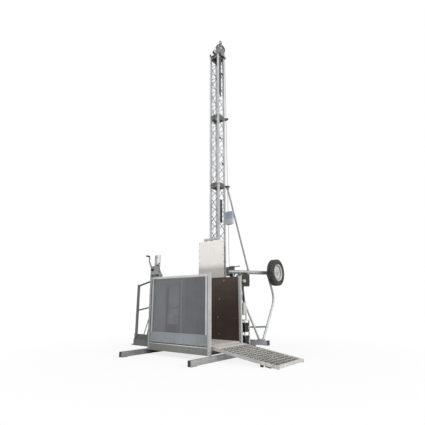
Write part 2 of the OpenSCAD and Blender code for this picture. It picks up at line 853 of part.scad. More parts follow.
module winch_motor() {
  color([0.82, 0.78, 0.68])
  arm_frame() translate([housing_t1 - 1, motor_s, motor_z]) axis_x() {
    cylinder(h = 14, d = 70);
    translate([0, 0, 14]) cylinder(h = 40, d = 62);
    translate([0, 0, 54]) cylinder(h = 8, d = 54);
    translate([0, 0, 62]) cylinder(h = 4, d = 24);
  }
}

// Hanger plate across the arm, drawn across the arm and up
module hanger_outline() {
  low = drum_z - 80;
  difference() {
    union() {
      polygon([[drum_t0 - 15, low], [housing_t1 - 40, low - 20], [housing_t1, low + 40],
        [housing_t1, housing_top], [60, housing_top], [54, wheel_z], [-54, wheel_z], [-60, housing_top],
        [drum_t0 - 15, housing_top]]);
    }
    translate([0, wheel_z]) circle(d = arm_d + 2 * gap);
    translate([rope_t, drum_z + drum_r]) circle(d = rope_d + 20);
  }
}

module winch_hanger() {
  s0 = drum_s - housing_s;
  s1 = drum_s + housing_s;
  color([0.5, 0.52, 0.52])
  arm_frame() {
    for (s = [s0 - plate_t, s1])
      translate([0, s + plate_t, 0]) rotate([90, 0, 0]) linear_extrude(plate_t) hanger_outline();
    difference() {
      box([drum_t0 - 15 - plate_t, s0 - plate_t, drum_z - 70],
        [drum_t0 - 15, s1 + plate_t, drum_z + 70]);
      translate([drum_t0 - 40, drum_s, drum_z]) axis_x() cylinder(h = 80, d = shaft_d + 2 * fit);
    }
  }
}

module winch_drum() {
  core = drum_r * cos(180 / wind_rings) - rope_r - gap;
  color([0.4, 0.41, 0.4])
  arm_frame() translate([0, drum_s, drum_z]) axis_x() {
    translate([0, 0, drum_t0 - 15 - plate_t]) cylinder(h = housing_t0 + 24 - drum_t0 + 15 + plate_t, d = shaft_d);
    translate([0, 0, drum_t0]) cylinder(h = drum_t1 - drum_t0, r = core);
    translate([0, 0, drum_t0 - 6]) cylinder(h = 6, r = drum_flange);
    translate([0, 0, drum_t1]) cylinder(h = 5, r = drum_flange);
  }
}

// Cheek of the guide pulley bracket, drawn along the arm and up
module guide_cheek(s0) {
  difference() {
    polygon([[s0, guide_z - 40], [guide_s + 10, guide_z - 40], [guide_s + 44, guide_z],
      [lever_s + 40, lever_z + 22], [lever_s - 34, lever_z + 22], [s0, guide_z + 80]]);
    translate([guide_s, guide_z]) circle(d = pin_d + 0.2);
    translate([lever_s, lever_z]) circle(d = 16 + 2 * fit);
  }
}

module pulley_bracket() {
  cheek_x = sheave_w / 2 + cheek_gap;
  color([0.22, 0.22, 0.2]) {
    difference() {
      arm_frame() {
        translate([rope_t - cheek_x - cheek_t, 0, 0]) axis_x() linear_extrude(cheek_t) guide_cheek(-70);
        translate([rope_t + cheek_x, 0, 0]) axis_x() linear_extrude(cheek_t) guide_cheek(24);
        box([rope_t - cheek_x - cheek_t, lever_s - 30, lever_z - 40],
          [rope_t + cheek_x + cheek_t, lever_s + 36, lever_z - 32]);
      }
      box([-200, 0, guide_z - 100], [200, mast_half + 6, guide_z + 300]);
    }
    box([-20, mast_half, guide_z - 50], [chord_in - 15 - gap, mast_half + 12, guide_z + 90]);
  }
}

module brake_release_lever() {
  color([0.16, 0.16, 0.15])
  arm_frame() translate([rope_t, lever_s, lever_z]) {
    axis_x() cylinder(h = sheave_w + 2 * cheek_gap + 2 * cheek_t + 8, d = 16, center = true);
    difference() {
      axis_x() cylinder(h = 20, d = 34, center = true);
      axis_x() cylinder(h = 30, d = 15, center = true);
    }
    box([-5, -52, -8], [5, -12, 8]);
    translate([0, -52, 0]) axis_x() cylinder(h = 16, d = 18, center = true);
    rod([0, 10, 3], [0, 146, 26], 17);
    translate([0, 146, 26]) sphere(d = 28);
  }
}

// Equipment on the base

rack_x0 = 250;
rack_x1 = 430;
rack_y0 = 280;
rack_y1 = 460;
rack_leg = 20;
rack_top = 560;
shelf_z = 330;
module equipment_rack() {
  color([0.7, 0.7, 0.67]) {
    box([rack_x0, rack_y0, base_h], [rack_x1 + 10, rack_y1, base_h + 8]);
    for (x = [rack_x0, rack_x1 - rack_leg], y = [rack_y0, rack_y1 - rack_leg])
      box([x, y, base_h], [x + rack_leg, y + rack_leg, rack_top]);
    box([rack_x0, rack_y0, shelf_z], [rack_x1, rack_y1, shelf_z + 6]);
    for (y = [rack_y0, rack_y1 - rack_leg])
      box([rack_x0, y, rack_top - rack_leg], [rack_x1, y + rack_leg, rack_top]);
    for (x = [rack_x0, rack_x1 - rack_leg])
      box([x, rack_y0, rack_top - rack_leg], [x + rack_leg, rack_y1, rack_top]);
    box([rack_x1 - rack_leg, 342, rack_top - rack_leg], [rack_x1, 362, 900]);
    difference() {
      rod([rack_x1 - rack_leg / 2, rack_y1 - rack_leg / 2, brace_z], strut_at(brace_z), brace_d);
      rod(strut_top, strut_foot, strut_d + 2 * gap);
    }
  }
}

module equipment_units() {
  color([0.1, 0.1, 0.11])
  for (z = [base_h + 8, shelf_z + 6]) {
    box([rack_x0 + 26, rack_y0 + 24, z], [rack_x1 - 2, rack_y1 - 24, z + 170]);
    for (k = [0 : 5])
      box([rack_x0 + 30 + 22 * k, rack_y0 + 12, z + 16], [rack_x0 + 38 + 22 * k, rack_y0 + 24, z + 150]);
  }
}

module control_cabinet() {
  y0 = 240;
  color([0.52, 0.54, 0.55])
    translate([325, 342, 0]) rotate([90, 0, 90]) linear_extrude(112)
      polygon([[0, 720], [0, 890], [y0 - 342, 890], [y0 - 342, 650], [-46, 650]]);
}

module motor_cable() {
  d = 40;
  top = on_arm(drum_s - 40, housing_z0) + [74 * cos(arm_a), -74 * sin(arm_a), 0];
  foot = [410, 300, 890];
  high = top - [0, 0, 70];
  low = foot + [0, 0, 70];
  color([0.06, 0.06, 0.06]) {
    rod(high, top, d);
    translate(high) sphere(d = d + 2);
    rod(low, high, d);
    translate(low) sphere(d = d + 2);
    rod(foot, low, d);
  }
}

// Platform

module platform_floor() {
  color([0.74, 0.71, 0.67])
    box([-post_in_x + 1, front_y + front_post / 2 + 1, beam_top], [post_in_x - 1, wall_front, floor_z]);
}

module floor_beams() {
  y0 = front_y + beam_t / 2;
  y1 = wall_back - beam_t;
  color([0.56, 0.58, 0.59]) {
    tube_x([-beam_end_x, front_y - beam_t / 2, skirt_z], [beam_end_x, y0, beam_top], 4);
    tube_x([-side_x, y1, skirt_z], [side_x, wall_back, beam_top], 4);
    for (x = [-side_x, -240, 200, side_x - beam_t])
      tube_y([x, y0 + gap / 2, skirt_z + 4], [x + beam_t, y1 - gap / 2, beam_top], 4);
  }
}

module platform_posts() {
  color([0.72, 0.73, 0.74])
  both_sides() {
    tube_z([post_x - front_post / 2, front_y - front_post / 2, skirt_z],
      [post_x + front_post / 2, front_y + front_post / 2, wall_top], 4);
    tube_z([post_x - rear_post / 2, wall_back - rear_post, skirt_z],
      [post_x + rear_post / 2, wall_back, wall_top], 4);
  }
}

// Top rail of the front wall with the stile that runs down beside each post
stile_in = post_in_x - 51.5;
stile_out = post_in_x - 7.5;
module front_top_rail() {
  color([0.62, 0.64, 0.65]) {
    tube_x([-post_in_x, front_y - beam_t / 2, panel_top - rail_h], [post_in_x, front_y + beam_t / 2, panel_top], 3);
    both_sides()
      tube_z([stile_in, front_y - 16, kick_top], [stile_out, front_y + 16, panel_top - rail_h + 2], 3);
  }
}

module front_mesh() {
  cols = 18;
  rows = 14;
  bar = 7;
  w = 2 * stile_in;
  h = panel_top - rail_h - kick_top;
  cw = (w - bar) / cols;
  ch = (h - bar) / rows;
  color([0.42, 0.43, 0.44])
    translate([-w / 2, front_y + 2, kick_top]) rotate([90, 0, 0])
      linear_extrude(4) difference() {
        square([w, h]);
        for (i = [0 : cols - 1], j = [0 : rows - 1])
          translate([bar + i * cw, bar + j * ch]) square([cw - bar, ch - bar]);
      }
}

// Kick plate with folded edges, drawn in Y and Z
module kick_plate() {
  t = 3;
  color([0.55, 0.57, 0.58])
    translate([-post_in_x, front_y, 0]) rotate([90, 0, 90]) linear_extrude(2 * post_in_x)
      polygon([[-14, beam_top], [14, beam_top], [14, beam_top + t], [-14 + t, beam_top + t],
        [-14 + t, kick_top - t], [14, kick_top - t], [14, kick_top], [-14, kick_top]]);
}

module plywood_wall() {
  color([0.24, 0.19, 0.17])
    box([-side_x, wall_front, floor_z], [side_x, wall_back, wall_top]);
}

module guard_plate() {
  color([0.88, 0.86, 0.83])
    box([-315, wall_back - 4, wall_top + gap], [315, wall_back, wall_top + 731]);
}

module carriage_rails() {
  color([0.55, 0.57, 0.58])
  both_sides()
    tube_z([rail_in_x, wall_back, rail_z0], [rail_in_x + rail_w, rail_back, rail_z1], 4);
}

// Cross ties, rope anchor and the brackets of the guide rollers
module carriage_ties() {
  color([0.5, 0.52, 0.52]) {
    for (z = [260, 1000, 1880, rail_z1 - 40])
      box([-rail_in_x, wall_back, z], [rail_in_x, wall_back + 40, z + 40]);
    box([-20, wall_back + 40, 1880], [20, lift_rope_y + 18, 1920]);
    translate([0, lift_rope_y, 1920]) cylinder(h = anchor_top - 1920, d1 = 30, d2 = 18);
    both_sides() {
      translate([rail_in_x, rail_back, upper_roller_z]) axis_x() linear_extrude(8)
        polygon([[0, -90], [80, -70], [162, -40], [162, 40], [80, 70], [0, 90]]);
      rod([upper_roller_x - roller_w / 2 - 2, upper_roller_y, upper_roller_z],
        [rail_in_x + 4, upper_roller_y, upper_roller_z], roller_pin_d);
      translate([rail_in_x - 10, lower_roller_y, lower_roller_z]) axis_x() linear_extrude(10)
        polygon([[wall_back - lower_roller_y, -60], [rail_back - lower_roller_y, -60], [22, -20], [22, 20],
          [rail_back - lower_roller_y, 60], [wall_back - lower_roller_y, 60]]);
      rod([chord_c - roller_w / 2 - 2, lower_roller_y, lower_roller_z],
        [rail_in_x - 4, lower_roller_y, lower_roller_z], roller_pin_d);
    }
  }
}

// Guide roller round X with rounded edges
module roller(x, y, z) {
  translate([x, y, z]) axis_x() difference() {
    rotate_extrude()
      polygon([[0, -roller_w / 2], [roller_r - 3, -roller_w / 2], [roller_r, 3 - roller_w / 2],
        [roller_r, roller_w / 2 - 3], [roller_r - 3, roller_w / 2], [0, roller_w / 2]]);
    cylinder(h = 4 * roller_w, d = roller_pin_d + 2 * fit, center = true);
  }
}

module upper_guide_rollers() {
  color([0.2, 0.2, 0.2])
  both_sides()
    roller(upper_roller_x, upper_roller_y, upper_roller_z);
}

module lower_guide_rollers() {
  color([0.2, 0.2, 0.2])
  both_sides()
    roller(chord_c, lower_roller_y, lower_roller_z);
}

// Hinge rod with its two lugs on the side beam
module hinge_rod(z, side) {
  scale([side, 1, 1]) {
    rod([hinge_x, hinge_y0 - 12, z], [hinge_x, hinge_y1 + 12, z], hinge_d);
    for (y = [hinge_y0 - 12, hinge_y1])
      box([side_x, y, beam_top - 50], [hinge_x + 14, y + 12, z + 14]);
  }
}

module hinge_rods() {
  color([0.5, 0.52, 0.52]) {
    hinge_rod(ramp_z, 1);
    hinge_rod(bridge_z, -1);
  }
}

// Sleeve that turns on a hinge rod
module hinge_sleeve(y0, y1) {
  translate([0, y0, 0]) rotate([-90, 0, 0]) difference() {
    cylinder(h = y1 - y0, d = sleeve_d);
    translate([0, 0, -over]) cylinder(h = y1 - y0 + 2 * over, d = hinge_d + 2 * fit);
  }
}

module loading_ramp() {
  y0 = hinge_y0 + gap;
  y1 = hinge_y1 - gap;
  rail = 25;
  slats = 10;
  bar_pitch = (ramp_l - 60) / ramp_bars;
  slat_pitch = (y1 - y0 - rail) / (slats + 1);
  color([0.55, 0.56, 0.56])
  translate([hinge_x, 0, ramp_z]) rotate([0, ramp_a, 0]) {
    hinge_sleeve(y0, y1);
    difference() {
      union() {
        for (y = [y0, y1 - rail])
          box([0, y, -ramp_low], [ramp_l, y + rail, ramp_high]);
        for (k = [1 : ramp_bars])
          box([20 + k * bar_pitch, y0, -10], [26 + k * bar_pitch, y1, ramp_high]);
        for (k = [1 : slats])
          box([10, y0 + rail / 2 + k * slat_pitch - 3, -6], [ramp_l, y0 + rail / 2 + k * slat_pitch + 3, ramp_high]);
        box([ramp_l - 40, y0, -ramp_low + 12], [ramp_l, y1, ramp_high]);
      }
      translate([0, y0 - over, 0]) rotate([-90, 0, 0]) cylinder(h = y1 - y0 + 2 * over, d = sleeve_d - 4);
    }
  }
}

module bridge_deck() {
  y0 = hinge_y0 + gap;
  y1 = hinge_y1 - gap;
  color([0.6, 0.61, 0.61])
  translate([-hinge_x, 0, bridge_z]) {
    hinge_sleeve(y0, y1);
    difference() {
      union() {
        box([-bridge_l, y0, -9], [-10, y1, -3]);
        for (x = [-bridge_l, -bridge_l / 2, -60])
          box([x, y0, -36], [x + 25, y1, -9]);
        for (y = [y0, y1 - 8])
          box([-bridge_l, y, -118], [-40, y + 8, -6]);
        rod([-bridge_l - 60, y0 + 10, -106], [-bridge_l + 10, y0 + 10, -106], 20);
      }
      translate([0, y0 - over, 0]) rotate([-90, 0, 0]) cylinder(h = y1 - y0 + 2 * over, d = sleeve_d - 4);
    }
  }
}

// Guard rail of the bridge at one side, with its toe board
module bridge_guard(y, low, high) {
  in_x = -48;
  out_x = -bridge_l + 48;
  r = guard_d / 2;
  drop = 80;
  post_d = guard_d + 18;
  rod([in_x, y, r - 3], [in_x, y, guard_h], guard_d);
  rod([out_x, y, r - 3], [out_x + 8, y, guard_h - drop + 24], post_d);
  rod([in_x, y, guard_h], [out_x + 8, y, guard_h - drop], guard_d);
  translate([in_x, y, guard_h]) sphere(d = guard_d + 3);
  rod([in_x, y, guard_h * 0.545], [out_x + 4, y, guard_h * 0.485], guard_d * 0.8);
  rod([in_x, y, guard_h * 0.42], [in_x - 150, y, high - 6], 16);
  rod([in_x, y, guard_h * 0.34], [in_x - 60, y, high - 6], 16);
  box([-bridge_l, y - 3, low], [-22, y + 3, high]);
}

module bridge_guards() {
  color([0.62, 0.63, 0.63])
  translate([-hinge_x, 0, bridge_z]) {
    bridge_guard(guard_y0, -3, 85);
    bridge_guard(guard_y1, -3, 226);
  }
}

// Hand winch

// Side plate of the hand winch, drawn in X and Z
module winch_side(t) {
  difference() {
    polygon([[-post_x - 6, wall_top], [-post_x + 252, wall_top], [-post_x + 184, wall_top + 95],
      [-post_x + 150, wall_top + 190], [-post_x + 16, wall_top + 190], [-post_x - 6, wall_top + 95]]);
    translate([crank_x, crank_z]) circle(d = crank_pin_d + 2 * fit);
  }
}

module hand_winch_bracket() {
  t = 6;
  color([0.66, 0.67, 0.67]) {
    box([-post_x - 6, winch_y0, wall_top], [-post_x + 252, winch_y1, wall_top + t]);
    box([-post_x + 52, front_y - beam_t / 2, panel_top], [-post_x + 242, front_y + beam_t / 2, wall_top + 1]);
    for (y = [winch_y0, winch_y1 - t])
      translate([0, y + t, 0]) rotate([90, 0, 0]) linear_extrude(t) winch_side(t);
    box([-post_x + 20, winch_y0, wall_top + 184], [-post_x + 150, winch_y1, wall_top + 190]);
    box([-post_x + 22, winch_y1 - t, wall_top + 180], [-post_x + 168, winch_y1, wall_top + 400]);
  }
}

// Turned shaft of the hand winch with its drum and hub, in radius and place along the shaft
module crank_shaft() {
  back = winch_y1 + 8;
  drum0 = back - winch_y1 + 9;
  drum1 = back - winch_y0 - 9;
  hub0 = back - winch_y0 + 6;
  hub1 = hub0 + 28;
  pin = crank_pin_d / 2;
  translate([0, back, 0]) rotate([90, 0, 0]) rotate_extrude()
    polygon([[0, 0], [pin, 0], [pin, drum0], [46, drum0], [46, drum0 + 5], [28, drum0 + 5], [28, drum1 - 5],
      [46, drum1 - 5], [46, drum1], [pin, drum1], [pin, hub0], [22, hub0], [22, hub1], [0, hub1]]);
}

crank_out = front_y - 128;
crank_bend = 150;
crank_grip_z = 242;
module hand_crank() {
  color([0.3, 0.3, 0.29])
  translate([crank_x, 0, crank_z]) {
    crank_shaft();
    rod([0, winch_y0 - 20, 6], [0, crank_out, crank_bend], 18);
    translate([0, crank_out, crank_bend]) sphere(d = 21);
    rod([0, crank_out, crank_bend], [0, crank_out, crank_grip_z], 18);
    translate([0, crank_out, crank_grip_z]) sphere(d = 22);
    rod([0, crank_out - 76, crank_grip_z], [0, crank_out, crank_grip_z], 12);
  }
}

module crank_grip() {
  color([0.06, 0.06, 0.06])
  translate([crank_x, 0, crank_z + crank_grip_z])
    difference() {
      rod([0, crank_out - 74, 0], [0, crank_out - 12, 0], 30);
      rod([0, crank_out - 80, 0], [0, crank_out, 0], 12.4);
    }
}

base_frame();
outrigger_sleeves();
base_rails();
rear_beam();
landing_buffers();
mast_section_1();
mast_section_2();
mast_section_3();
mast_section_4();
mast_collars();
mast_head();
pulley_pins();
switch_box();
limit_cam();
hoist_rope_run();
hoist_rope_fall();
wheel_arms();
mast_stays();
bow_tubes();
rear_struts();
winch_housing();
winch_motor();
winch_hanger();
pulley_bracket();
equipment_rack();
equipment_units();
control_cabinet();
motor_cable();
winch_drum();
drum_rope();
front_sheave();
rear_sheave();
guide_pulley();
brake_release_lever();
left_outrigger();
right_outrigger();
left_rim();
left_tyre();
right_rim();
right_tyre();
platform_floor();
floor_beams();
platform_posts();
front_top_rail();
front_mesh();
kick_plate();
plywood_wall();
guard_plate();
carriage_rails();
carriage_ties();
upper_guide_rollers();
lower_guide_rollers();
hinge_rods();
loading_ramp();
bridge_deck();
bridge_guards();
hand_winch_bracket();
hand_crank();
crank_grip();
cable_channel();
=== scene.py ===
import json
import math

import bmesh
import bpy
from mathutils import Matrix, Vector


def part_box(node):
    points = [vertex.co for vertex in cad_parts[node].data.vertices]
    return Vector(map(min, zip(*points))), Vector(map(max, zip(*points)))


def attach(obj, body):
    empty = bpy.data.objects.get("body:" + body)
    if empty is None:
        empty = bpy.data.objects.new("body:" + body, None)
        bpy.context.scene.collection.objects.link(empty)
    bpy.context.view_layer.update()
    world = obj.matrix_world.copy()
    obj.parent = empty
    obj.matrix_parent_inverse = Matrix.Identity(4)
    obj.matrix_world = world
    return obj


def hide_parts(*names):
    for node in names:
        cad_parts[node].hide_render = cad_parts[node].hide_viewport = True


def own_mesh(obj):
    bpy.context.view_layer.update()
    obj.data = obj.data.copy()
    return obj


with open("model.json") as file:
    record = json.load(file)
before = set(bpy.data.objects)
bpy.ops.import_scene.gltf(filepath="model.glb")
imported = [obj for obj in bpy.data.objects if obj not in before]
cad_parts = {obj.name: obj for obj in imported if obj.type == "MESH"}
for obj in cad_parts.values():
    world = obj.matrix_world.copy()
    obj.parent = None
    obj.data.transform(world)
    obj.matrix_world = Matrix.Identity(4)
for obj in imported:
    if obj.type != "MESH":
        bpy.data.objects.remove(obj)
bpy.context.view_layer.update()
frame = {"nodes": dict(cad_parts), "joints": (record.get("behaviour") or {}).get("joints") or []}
scene = bpy.context.scene
scene.view_settings.view_transform = "Standard"

# Camera of the photograph, found by fitting the mast, platform and wheels to it
lens = bpy.data.cameras.new("site_camera")
lens.sensor_width = 36.0
lens.lens = 29.64
lens.clip_end = 200.0
viewer = bpy.data.objects.new("site_camera", lens)
viewer.location = (4.258, -5.686, 0.872)
viewer.rotation_euler = (math.radians(90.0 + 14.54), 0.0, math.radians(37.707))
scene.collection.objects.link(viewer)
scene.camera = viewer

# Places from the frame, in metres: the boxes of nodes and the pivots of joints
pivots = {joint["name"]: joint.get("pos_m") for joint in frame["joints"]}
sections = [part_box("mast_section_%d" % k) for k in range(1, 5)]
MAST_HALF = sections[0][1].x
MAST_FOOT = sections[0][0].z
JOINTS = [high.z for low, high in sections[:-1]]
JOINT_T = sections[1][0].z - JOINTS[0]
MAST_TOP = sections[-1][1].z
mesh_low, mesh_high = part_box("front_mesh")
STILE_IN = mesh_high.x
FRONT_Y = (mesh_low.y + mesh_high.y) / 2
wall_low, wall_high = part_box("plywood_wall")
WALL_FRONT = wall_low.y
WALL_BACK = wall_high.y
WALL_TOP = wall_high.z
fall_low, fall_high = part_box("hoist_rope_fall")
LIFT_Y = (fall_low.y + fall_high.y) / 2
ANCHOR_TOP = fall_low.z
FRONT_Z = pivots["front_sheave_spin"][2]
REAR_Z = pivots["rear_sheave_spin"][2]
GUIDE_Z = pivots["guide_pulley_spin"][2]
DRUM_Z = pivots["drum_spin"][2]
WHEEL_X, WHEEL_Y, WHEEL_Z = pivots["right_wheel_spin"]
HINGE_X, _, RAMP_Z = pivots["ramp_hinge"]
BRIDGE_Z = pivots["bridge_hinge"][2]
CRANK_X, _, CRANK_Z = pivots["crank_turn"]

# Other sizes that the pieces share with the part, in metres, and its angles, in radians
WEB_FACE = 0.106
POST_HALF = 0.0225
ROPE_R = 0.004
ROPE_LAY = 0.060
FRONT_R = 0.038
REAR_R = 0.110
HEAD_RUN = (0.130, 0.284)
HEAD_TURN = math.atan2(*HEAD_RUN)
REAR_S = math.hypot(*HEAD_RUN) - REAR_R
ARM_ROOT = 0.130
ARM_TURN = math.atan2(0.530, 0.806)
ROPE_T = -0.062
DRUM_S = 0.350
DRUM_R = 0.060
DRUM_PITCH = 0.009
GUIDE_R = 0.060
GUIDE_S = 0.076 + GUIDE_R
RAMP_TURN = math.radians(8.418)
CRANK_OUT = FRONT_Y - 0.128
COLUMN_FACE = FRONT_Y + 0.032
PLUG = 0.0079
BRACE_Z = 0.420
UNIT_HIGH = 0.170


def on_head(s, z):
    """Point in the rope plane of the mast head."""
    return Vector((s * math.sin(HEAD_TURN), LIFT_Y + s * math.cos(HEAD_TURN), z))


def on_arm(s, t, z):
    """Point s along the right wheel arm and t to its right."""
    return Vector((ARM_ROOT + s * math.sin(ARM_TURN) + t * math.cos(ARM_TURN),
                   ARM_ROOT + s * math.cos(ARM_TURN) - t * math.sin(ARM_TURN), z))


def on_ramp(x, y, z):
    """Point on the lowered ramp, x from its hinge."""
    return Vector((HINGE_X + x * math.cos(RAMP_TURN) + z * math.sin(RAMP_TURN), y,
                   RAMP_Z - x * math.sin(RAMP_TURN) + z * math.cos(RAMP_TURN)))


def paint_tone(red, green, blue):
    """Colour from a paint chart's 0 to 255 values."""
    parts = [v / 255 for v in (red, green, blue)]
    return tuple(v / 12.92 if v <= 0.04 else ((v + 0.055) / 1.055) ** 2.4 for v in parts) + (1.0,)


def shade(tone, times):
    """The same colour, lighter or darker."""
    return tuple(min(1.0, v * times) for v in tone[:3]) + (1.0,)


class Wire:
    """A socket that takes part in sums; each sum adds a Math node."""

    def __init__(self, finish, socket):
        self.finish = finish
        self.socket = socket

    def maths(self, operation, *terms):
        return self.finish.maths(operation, *terms)

    def __add__(self, other):
        return self.maths("ADD", self, other)

    def __sub__(self, other):
        return self.maths("SUBTRACT", self, other)

    def __rsub__(self, other):
        return self.maths("SUBTRACT", other, self)

    def __mul__(self, other):
        return self.maths("MULTIPLY", self, other)

    def __truediv__(self, other):
        return self.maths("DIVIDE", self, other)

    def __pow__(self, other):
        return self.maths("POWER", self, other)

    def __abs__(self):
        return self.maths("ABSOLUTE", self)

    __radd__ = __add__
    __rmul__ = __mul__


class Finish:
    """One procedural material on Object coordinates, or the world."""

    def __init__(self, name, kind="materials"):
        self.owner = getattr(bpy.data, kind).new(name)
        self.owner.use_nodes = True
        self.tree = self.owner.node_tree
        self.tree.nodes.clear()
        self.place = self.node("ShaderNodeTexCoord", out="Object")

    def node(self, kind, settings=None, sockets=None, out=0):
        """Adds a node: its settings first, then the values or links of its sockets."""
        made = self.tree.nodes.new(kind)
        for key, value in (settings or {}).items():
            setattr(made, key, value)
        for key, value in (sockets or {}).items():
            if isinstance(value, Wire):
                self.tree.links.new(value.socket, made.inputs[key])
            else:
                made.inputs[key].default_value = value
        return Wire(self, made.outputs[out]) if made.outputs else None

    def maths(self, operation, *terms):
        return self.node("ShaderNodeMath", {"operation": operation}, dict(enumerate(terms)))

    def axis(self, letter, of=None):
        """One coordinate of the object, or of a map."""
        return self.node("ShaderNodeSeparateXYZ", None, {0: of or self.place}, letter)

    def stretched(self, by, turn=(0.0, 0.0, 0.0)):
        return self.node("ShaderNodeMapping", None, {"Vector": self.place, "Scale": by, "Rotation": turn})

    def noise(self, scale, detail=3.0, rough=0.55, at=None):
        return self.node("ShaderNodeTexNoise", None,
                         {"Vector": at or self.place, "Scale": scale, "Detail": detail, "Roughness": rough})

    def cells(self, scale):
        """Patches, each of one grey."""
        patch = self.node("ShaderNodeTexVoronoi", None, {"Vector": self.place, "Scale": scale}, "Color")
        return self.node("ShaderNodeSeparateColor", None, {0: patch}, "Red")

    def ramp(self, value, low, high, start=0.0, end=1.0):
        """Rises from start at low to end at high, and stays there."""
        return self.node("ShaderNodeMapRange", {"clamp": True},
                         {"Value": value, "From Min": low, "From Max": high, "To Min": start, "To Max": end})

    def mix(self, factor, first, second):
        return self.node("ShaderNodeMix", {"data_type": "RGBA"}, {0: factor, 6: first, 7: second}, 2)

    def relief(self, height, depth, strength):
        return self.node("ShaderNodeBump", None,
                         {"Height": height, "Distance": depth, "Strength": strength}, "Normal")

    def skin(self, base, rough, metal, normal):
        """Ends a material."""
        surface = self.node("ShaderNodeBsdfPrincipled", None,
                            {"Base Color": base, "Roughness": rough, "Metallic": metal, "Normal": normal})
        self.node("ShaderNodeOutputMaterial", None, {"Surface": surface})
        return self.owner


def zinc_finish(name, tone, metal=0.55, mud=0.0, rust=0.0, cap=None, worn=None, second=None, rods=None):
    """Dull galvanised steel: spangle, runs, clouding, mud near the ground and a few rust freckles.

    cap is an axis, and how far from the middle plane the black end plugs begin.
    second is an axis, two levels and the tone below them; along X on the posts and top rail it is painted
    shade.
    rods is how far the lacing of the mast reaches from its middle planes, and the tone of the lacing.
    worn is for the ramp: the two sides and the end of its grating, the height below which its bars take
    painted shade, where the rails are bright and dull, the tone of dull rails, and the tone of that shade."""
    f = Finish(name)
    spangle = f.cells(85.0)
    clouds = f.noise(2.6, 5.0, 0.6)
    runs = f.noise(1.0, 3.0, 0.5, f.stretched((38.0, 38.0, 2.4)))
    grain = f.noise(260.0, 2.0)
    light = f.ramp(clouds * 0.55 + runs * 0.3 + spangle * 0.15, 0.28, 0.72)

    def clouded(colour):
        return f.mix(light, shade(colour, 0.70), shade(colour, 1.22))

    base = clouded(tone)
    if second:
        letter, low, high, below = second
        base = f.mix(f.ramp(f.axis(letter), low, high), clouded(below), base)
    if rods:
        reach, thin = rods
        inner = f.maths("MINIMUM", abs(f.axis("X")), abs(f.axis("Y")))
        base = f.mix(f.ramp(inner, reach, reach - 0.001), base, clouded(thin))
    freckles = f.ramp(f.noise(46.0, 4.0, 0.7), 0.66, 0.74) * f.ramp(f.noise(4.0), 0.52, 0.66)
    base = f.mix(freckles * (0.25 + rust), base, paint_tone(112, 74, 48))
    if mud:
        splash = f.ramp(f.axis("Z"), mud, 0.0) * f.ramp(f.noise(24.0, 6.0, 0.7), 0.38, 0.66)
        base = f.mix(splash * 0.55, base, paint_tone(112, 102, 90))
    if worn:
        (near, far, end), top, (bright, plain), rail, dirt_and_painted_shade = worn
        soft = 0.003
        across = f.ramp(f.axis("Y"), near, near + soft) * f.ramp(f.axis("Y"), far, far - soft)
        dull = (1.0 - across) * f.ramp(f.axis("X"), bright, plain, 0.4, 1.0)
        base = f.mix(dull, base, clouded(rail))
        # Painted shade: inside the grating the bars turn dark below their tops.
        out, up = f.axis("X") - HINGE_X, f.axis("Z") - RAMP_Z
        height = out * math.sin(RAMP_TURN) + up * math.cos(RAMP_TURN)
        inside = across * f.ramp(f.axis("X"), end, end - soft) * f.ramp(height, top, top - 0.0005)
        base = f.mix(inside * (0.75 + 0.25 * runs), base, dirt_and_painted_shade)
    rough = 0.36 + clouds * 0.2 + grain * 0.1
    gleam = metal
    if cap:
        letter, level = cap
        black = f.maths("GREATER_THAN", abs(f.axis(letter)), level)
        base = f.mix(black, base, f.mix(grain, paint_tone(24, 24, 24), paint_tone(40, 40, 39)))
        gleam = (1.0 - black) * metal
    return f.skin(base, rough, gleam, f.relief(grain * 0.6 + spangle * 0.4, 0.0005, 0.5))


def coat_finish(name, tone, chips=0.5, dust=0.25, rough=0.45, second=None):
    """Sprayed paint: orange peel, faded patches, chips to the steel and dust.

    second is a level and the tone below it."""
    f = Finish(name)
    peel = f.noise(420.0, 2.0)
    fade = f.noise(3.4, 4.0, 0.6)
    runs = f.noise(1.0, 3.0, 0.55, f.stretched((30.0, 30.0, 3.0)))
    patch = f.ramp(fade * 0.65 + runs * 0.35, 0.3, 0.7)

    def faded(colour):
        return f.mix(patch, shade(colour, 0.80), shade(colour, 1.18))

    base = faded(tone)
    if second:
        level, below = second
        base = f.mix(f.ramp(f.axis("Z"), level, level + 0.004), faded(below), base)
    bare = f.ramp(f.noise(34.0, 7.0, 0.74), 0.655, 0.675) * f.ramp(f.noise(5.5), 0.46, 0.6)
    base = f.mix(bare * chips, base, paint_tone(120, 122, 120))
    dusty = f.ramp(f.noise(9.0, 5.0, 0.65), 0.45, 0.75)
    base = f.mix(dusty * dust, base, paint_tone(168, 160, 148))
    sheen = rough - 0.08 + fade * 0.16 + dusty * 0.12
    return f.skin(base, sheen, 0.0, f.relief(peel * 0.5 - bare * 0.6, 0.0006, 0.4))


